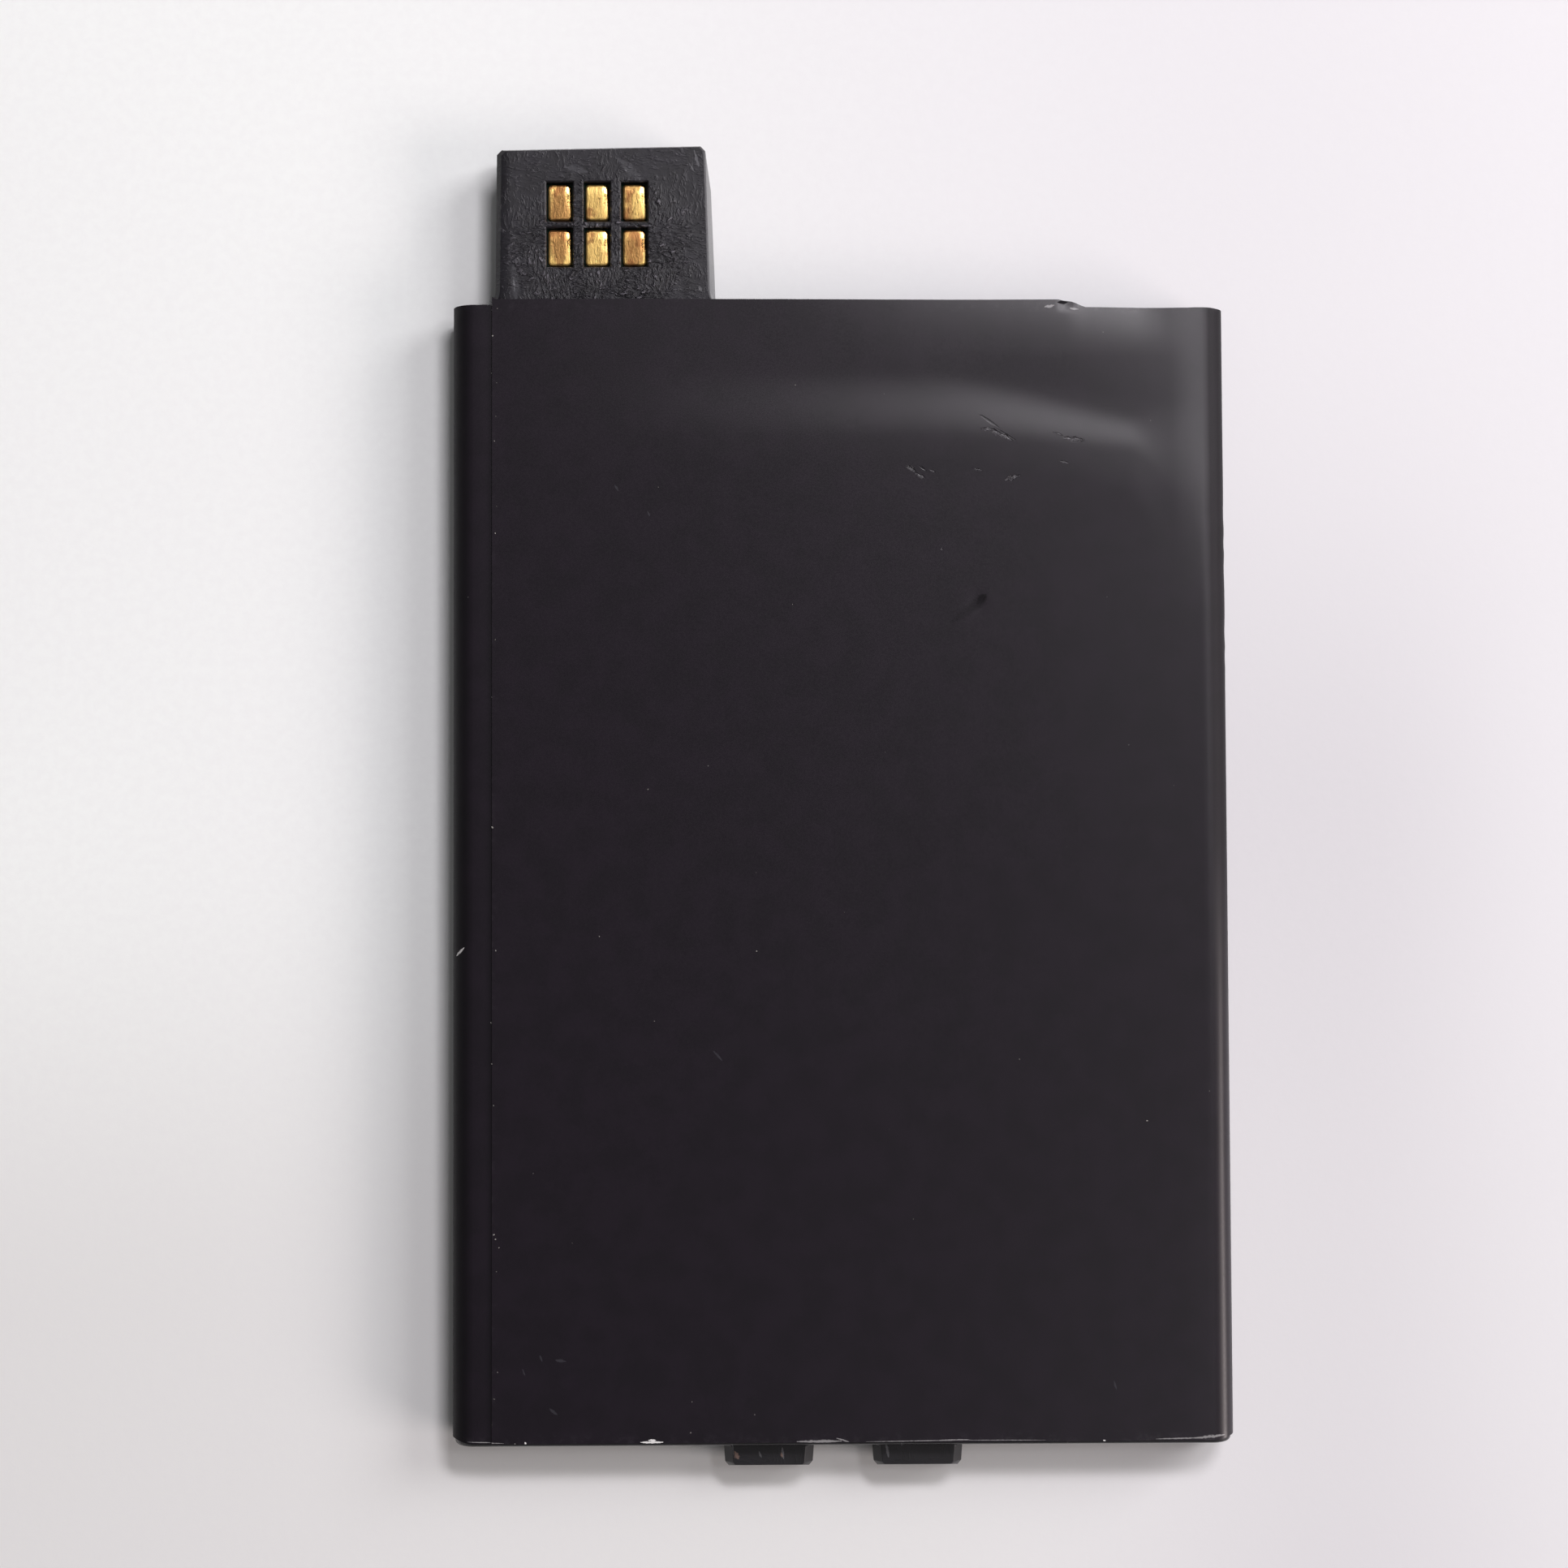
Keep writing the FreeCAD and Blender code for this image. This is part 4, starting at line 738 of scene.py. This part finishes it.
def wearFilm(mesh, film, outerCount):
    count = len(mesh.vertices)
    spots = np.empty(count * 3)
    mesh.vertices.foreach_get("co", spots)
    spots = spots.reshape(-1, 3) / mm
    outer = np.arange(count) < outerCount
    x, y, z = spots.T.copy()
    flat = (np.abs(x) < film["halfWidth"] - film["cornerRadius"] * 0.5) & (x > film["seamX"] - 0.01)
    front = outer & (z > 3.5) & flat
    back = outer & (z < 0.02)
    # slack in the sheet: long low waves, always inwards
    slack = 0.5 + 0.25 * np.sin(x * 0.23 + 0.6 * np.sin(y * 0.11)) + 0.25 * np.sin(y * 0.17 + 0.05 * x + 1.3)
    spots[:, 2] -= np.where(front, film["frontSlack"] * slack, 0)
    spots[:, 2] += np.where(back, film["backSlack"] * slack * smoothStep((30 - np.abs(x)) / 4), 0)
    # the pressed-in dent, a wedge that is deepest at its upper end
    dent = film["dent"]
    cosine, sine = math.cos(dent["turn"]), math.sin(dent["turn"])
    lengthwise = ((x - dent["x"]) * cosine + (y - dent["y"]) * sine) / dent["length"]
    sideways = ((y - dent["y"]) * cosine - (x - dent["x"]) * sine) / dent["width"]
    pressed = smoothStep(1 - np.abs(sideways)) * smoothStep(lengthwise + 0.6)
    pressed *= smoothStep((0.35 - lengthwise) * 5)
    spots[:, 2] -= np.where(front, dent["depth"] * pressed, 0)
    # the right shoulder is rounder near the top, and a little near the bottom
    shoulder = (x - film["shoulderFrom"]) / (film["shoulderTo"] - film["shoulderFrom"])
    rounder = np.maximum(smoothStep((y - 18) / 20), film["shoulderLow"] * smoothStep((-14 - y) / 16))
    shoulder = np.clip(shoulder, 0, 1) ** 2 * (rounder * np.clip((z - 2.2) / 2.4, 0, 1))
    spots[:, 2] -= film["shoulderFall"] * shoulder
    # the right edge is rubbed and slightly rippled
    edge = outer & (x > film["halfWidth"] - 2.4)
    ripple = np.sin(y * 1.9 + np.sin(y * 0.7) * 2) * smoothStep((y - 14) / 5) * smoothStep((34 - y) / 5)
    spots[:, 0] -= np.where(edge, film["rubbed"] + film["ripple"] * ripple, 0)
    # the tongue's right end is torn and pressed down
    torn = smoothStep(1 - np.abs(x - film["tornX"]) / 0.7) * smoothStep((y - 46.3) / 0.6) * (z > 3.5)
    spots[:, 1] -= film["tornBack"] * torn
    spots[:, 2] -= film["tornDown"] * torn
    # the ends of the sheet are not quite square
    spots[:, 1] -= film["outOfSquare"] * smoothStep((x - 19) / 9) * smoothStep((y - 43) / 3)
    atLeft = smoothStep((-28.3 - x) / 0.4) * (z > 1.5)
    spots[:, 1] += film["leftStep"] * atLeft * smoothStep((y - 43.5) / 3.2)
    corners = smoothStep((np.abs(x) - 30.4) / 1.6) * smoothStep((-45.4 - y) / 0.95)
    spots[:, 1] += film["cornerCut"] * corners
    mesh.vertices.foreach_set("co", (spots * mm).ravel())
    # values for the finish and the lint: worn edges, the left fold and the upper right fold darkened as
    # painted shade, where specks are caught
    seam = np.where(z > 4.5, np.abs(x - film["seamX"]), 9.0)
    ends = np.minimum(y - film["bottom"], film["top"] - y)
    storeValue(mesh, "edgeWear", np.maximum(np.exp(-(seam / 0.25) ** 2) * 0.7, np.exp(-(ends / 0.35) ** 2)))
    # painted shade on the upper right fold and on the left fold
    rightFoldShade = film["wearAndShade"] * smoothStep((x - 30.15) / 0.6) * smoothStep((y + 14) / 20)
    storeValue(mesh, "shadedFolds", np.where(outer, np.maximum(smoothStep((-30.0 - x) / 1.4), rightFoldShade), 0.0))
    storeValue(mesh, "dustShare", np.where(front, 0.004 + np.exp(-((x - film["seamX"]) / 0.35) ** 2), 0.0))
    mesh.shade_smooth()
    mesh.set_sharp_from_angle(angle=math.radians(35))
    mesh.update()


film = makeFilm(wrapFilm, finishes["film"])
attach(film, "root")
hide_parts("wrap_film")
print("film sleeve:", len(film.data.polygons), "faces")


# lint: flat specks scattered over the front, most of them caught along the seam

lintSpecks = {"density": 600000.0, "small": 0.03, "large": 0.075, "flatness": 0.3, "seed": 7}


def randomValue(tree, low, high, seed=0):
    node = addNode(tree, "FunctionNodeRandomValue", data_type="FLOAT")
    limits = [s for s in node.inputs if s.name in ("Min", "Max") and s.type == "VALUE"]
    feed(tree, limits[0], low)
    feed(tree, limits[1], high)
    feed(tree, node.inputs["Seed"], seed)
    return [s for s in node.outputs if s.type == "VALUE"][0]


def makeLintTree():
    tree, given, out = newGroup("lintScatter", "GeometryNodeTree",
                                {"Surface": "NodeSocketGeometry", "Density": 1.0, "Small": 0.1, "Large": 0.2,
                                 "Flatness": 0.3, "Seed": 0, "Material": "NodeSocketMaterial"}, ["Specks"])
    share = addNode(tree, "GeometryNodeInputNamedAttribute", {"Name": "dustShare"},
                    data_type="FLOAT").outputs[0]
    spots = addNode(tree, "GeometryNodeDistributePointsOnFaces",
                    {"Mesh": given["Surface"], "Density": times(tree, given["Density"], share),
                     "Seed": given["Seed"]}, distribute_method="RANDOM")
    flake = addNode(tree, "GeometryNodeMeshIcoSphere", {"Radius": 1.0, "Subdivisions": 1})
    size = randomValue(tree, times(tree, given["Small"], mm), times(tree, given["Large"], mm), given["Seed"])
    longer = times(tree, size, randomValue(tree, 0.6, 1.8, plus(tree, given["Seed"], 3.0)))
    shape = addNode(tree, "ShaderNodeCombineXYZ",
                    {0: size, 1: longer, 2: times(tree, size, given["Flatness"])}).outputs[0]
    turn = addNode(tree, "ShaderNodeCombineXYZ", {2: randomValue(tree, 0.0, 6.28)}).outputs[0]
    placed = addNode(tree, "GeometryNodeInstanceOnPoints",
                     {"Points": spots.outputs["Points"], "Instance": flake.outputs[0], "Scale": shape,
                      "Rotation": turn})
    finishSheet(tree, out, placed.outputs[0], given["Material"])
    return tree


def makeLint(specks, surface, finish):
    host = bpy.data.objects.new("lintHost", surface.data.copy())
    scene.collection.objects.link(host)
    values = {key.capitalize(): value for key, value in specks.items()}
    runNodes(host, makeLintTree(), dict(values, Material=finish))
    return bakeMesh(host, "lint_specks")


specks = makeLint(lintSpecks, film, lint)
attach(specks, "root")
print("lint specks:", len(specks.data.polygons), "faces")


# moulded parts: the solids with their sharp edges broken as a mould leaves them

softEdges = {"connector_housing": 0.07, "foot_rail": 0.06}
edgeLimits = {"weld": 0.002, "flat": 0.6, "sharp": 28.0, "shade": 50.0}  # a distance, then angles in degrees


def softenEdges(nodeName, radius, limits, finish):
    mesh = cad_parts[nodeName].data.copy()
    mould = bmesh.new()
    mould.from_mesh(mesh)
    bmesh.ops.remove_doubles(mould, verts=mould.verts, dist=limits["weld"] * mm)
    bmesh.ops.dissolve_limit(mould, angle_limit=math.radians(limits["flat"]), verts=mould.verts,
                             edges=mould.edges)
    bent = math.radians(limits["sharp"])
    sharp = [edge for edge in mould.edges if edge.is_manifold and edge.calc_face_angle(0) > bent]
    bmesh.ops.bevel(mould, geom=sharp, offset=radius * mm, segments=2, profile=0.5, affect="EDGES",
                    clamp_overlap=True, offset_type="OFFSET")
    mould.to_mesh(mesh)
    mould.free()
    mesh.materials.clear()
    mesh.materials.append(finish)
    mesh.shade_smooth()
    mesh.set_sharp_from_angle(angle=math.radians(limits["shade"]))
    blank = bpy.data.objects.new("mouldBlank", mesh)
    scene.collection.objects.link(blank)
    level = blank.modifiers.new("flatFaces", "WEIGHTED_NORMAL")
    level.weight = 100
    level.keep_sharp = True
    return bakeMesh(blank, nodeName + "_moulded")


for nodeName, radius in softEdges.items():
    moulded = softenEdges(nodeName, radius, edgeLimits, finishes["moulding"])
    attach(moulded, "root")
    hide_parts(nodeName)
    print(nodeName, "edges broken:", len(moulded.data.polygons), "faces")


# floor, lamps and camera

# the floor's tones paint light and shade: brighter to the left, a painted soft shadow right of the pack,
# darker towards the bottom; cloud and fibre are the paper's own tone
floorLook = {
    "left": tone(251, 254, 251), "right": tone(234, 233, 235), "paintedShadowRight": tone(218, 216, 219),
    "low": tone(232, 232, 230), "cloud": tone(238, 236, 239), "fibre": tone(228, 226, 228),
    "fibreHeight": 0.01, "specular": 0.2,
    "roughness": 0.85, "size": 2.4, "drop": 0.02,
}
lamps = {
    "keyLamp": {"azimuth": 64.0, "elevation": 50.0, "distance": 0.9, "size": (0.3, 0.11), "watts": 3.8,
                "color": (1.0, 0.965, 1.01)},
    "sideLamp": {"azimuth": 30.0, "elevation": 27.5, "distance": 1.2, "size": (0.5, 0.5), "watts": 7.8,
                 "color": (1.0, 0.985, 1.0)},
    "lowLamp": {"azimuth": -20.0, "elevation": 20.0, "distance": 1.6, "size": (0.8, 0.4), "watts": 12.5,
                "color": (1.0, 0.89, 0.865)},
    "rightLamp": {"azimuth": 25.0, "elevation": 60.0, "distance": 0.7, "size": (0.14, 0.12), "watts": 0.5,
                  "color": (1.0, 0.97, 1.01)},
    "fillLamp": {"azimuth": -42.0, "elevation": 66.0, "distance": 0.9, "size": (0.3, 0.2), "watts": 0.25,
                 "color": (1.0, 0.97, 1.0)},
}
room = {"Color": (1.0, 0.99, 1.0, 1.0), "Strength": 0.13}
cameraSet = {"lens": 55.901, "sensor": 36.0, "clip": 0.005, "place": (-5.85, -0.02, 204.13),
             "turn": (2.072, -0.335, -0.231)}


def makeFloor(look):
    material, tree, socket, place = newFinish("paperFloor", Roughness=look["roughness"])
    socket["Specular IOR Level"].default_value = look["specular"]
    fibre = noise(tree, place, 1.2, 4.0, 0.6)
    cloud = noise(tree, place, 0.012, 2.0)
    axes = axesOf(tree, place)
    # painted light: the floor is brighter to the left
    color = mixColor(tree, fade(tree, axes[0], -70.0, 40.0), look["left"], look["right"])
    # painted shadow on the floor to the right of the pack
    paintedShadowRight = times(tree, fade(tree, axes[0], 10.0, 40.0), fade(tree, axes[0], 42.0, 66.0, 1.0, 0.0),
                fade(tree, axes[1], 0.0, 50.0, 0.9, 0.1))
    color = mixColor(tree, paintedShadowRight, color, look["paintedShadowRight"])
    # painted shade: darker towards the bottom, most of all on the left
    low = times(tree, fade(tree, axes[1], -38.0, 8.0, 1.0, 0.0), fade(tree, axes[0], 0.0, 45.0, 1.0, 0.2))
    color = mixColor(tree, low, color, look["low"])
    color = mixColor(tree, fade(tree, cloud, 0.3, 0.7, 0.0, 0.2), color, look["cloud"])
    color = mixColor(tree, fade(tree, fibre, 0.3, 0.7, 0.0, 0.12), color, look["fibre"])
    dress(tree, socket, color, look["roughness"], times(tree, fibre, look["fibreHeight"]))
    half, drop = look["size"] / 2, -look["drop"] * mm
    mesh = bpy.data.meshes.new("floor")
    corners = [(-half, -half, drop), (half, -half, drop), (half, half, drop), (-half, half, drop)]
    mesh.from_pydata(corners, [], [(0, 1, 2, 3)])
    mesh.materials.append(material)
    floor = bpy.data.objects.new("floor", mesh)
    scene.collection.objects.link(floor)


def softLamp(name, look):
    lamp = bpy.data.lights.new(name, "AREA")
    lamp.shape = "RECTANGLE"
    lamp.energy = look["watts"]
    lamp.color = look["color"]
    lamp.size, lamp.size_y = look["size"]
    holder = bpy.data.objects.new(name, lamp)
    lift, turn = math.radians(look["elevation"]), math.radians(look["azimuth"])
    toLamp = Vector((math.cos(turn) * math.cos(lift), math.sin(turn) * math.cos(lift), math.sin(lift)))
    holder.location = toLamp * look["distance"]
    holder.rotation_euler = toLamp.to_track_quat("Z", "Y").to_euler()
    scene.collection.objects.link(holder)


makeFloor(floorLook)
for lampName, lampLook in lamps.items():
    softLamp(lampName, lampLook)

world = bpy.data.worlds.new("softRoom")
world.use_nodes = True
for label, value in room.items():
    world.node_tree.nodes["Background"].inputs[label].default_value = value
scene.world = world

cameraData = bpy.data.cameras.new("camera")
cameraData.lens = cameraSet["lens"]
cameraData.sensor_width = cameraSet["sensor"]
cameraData.clip_start = cameraSet["clip"]
camera = bpy.data.objects.new("camera", cameraData)
camera.location = Vector(cameraSet["place"]) * mm
camera.rotation_euler = Euler([math.radians(angle) for angle in cameraSet["turn"]])
scene.collection.objects.link(camera)
scene.camera = camera
scene.view_settings.view_transform = "Standard"
print("stage ready")
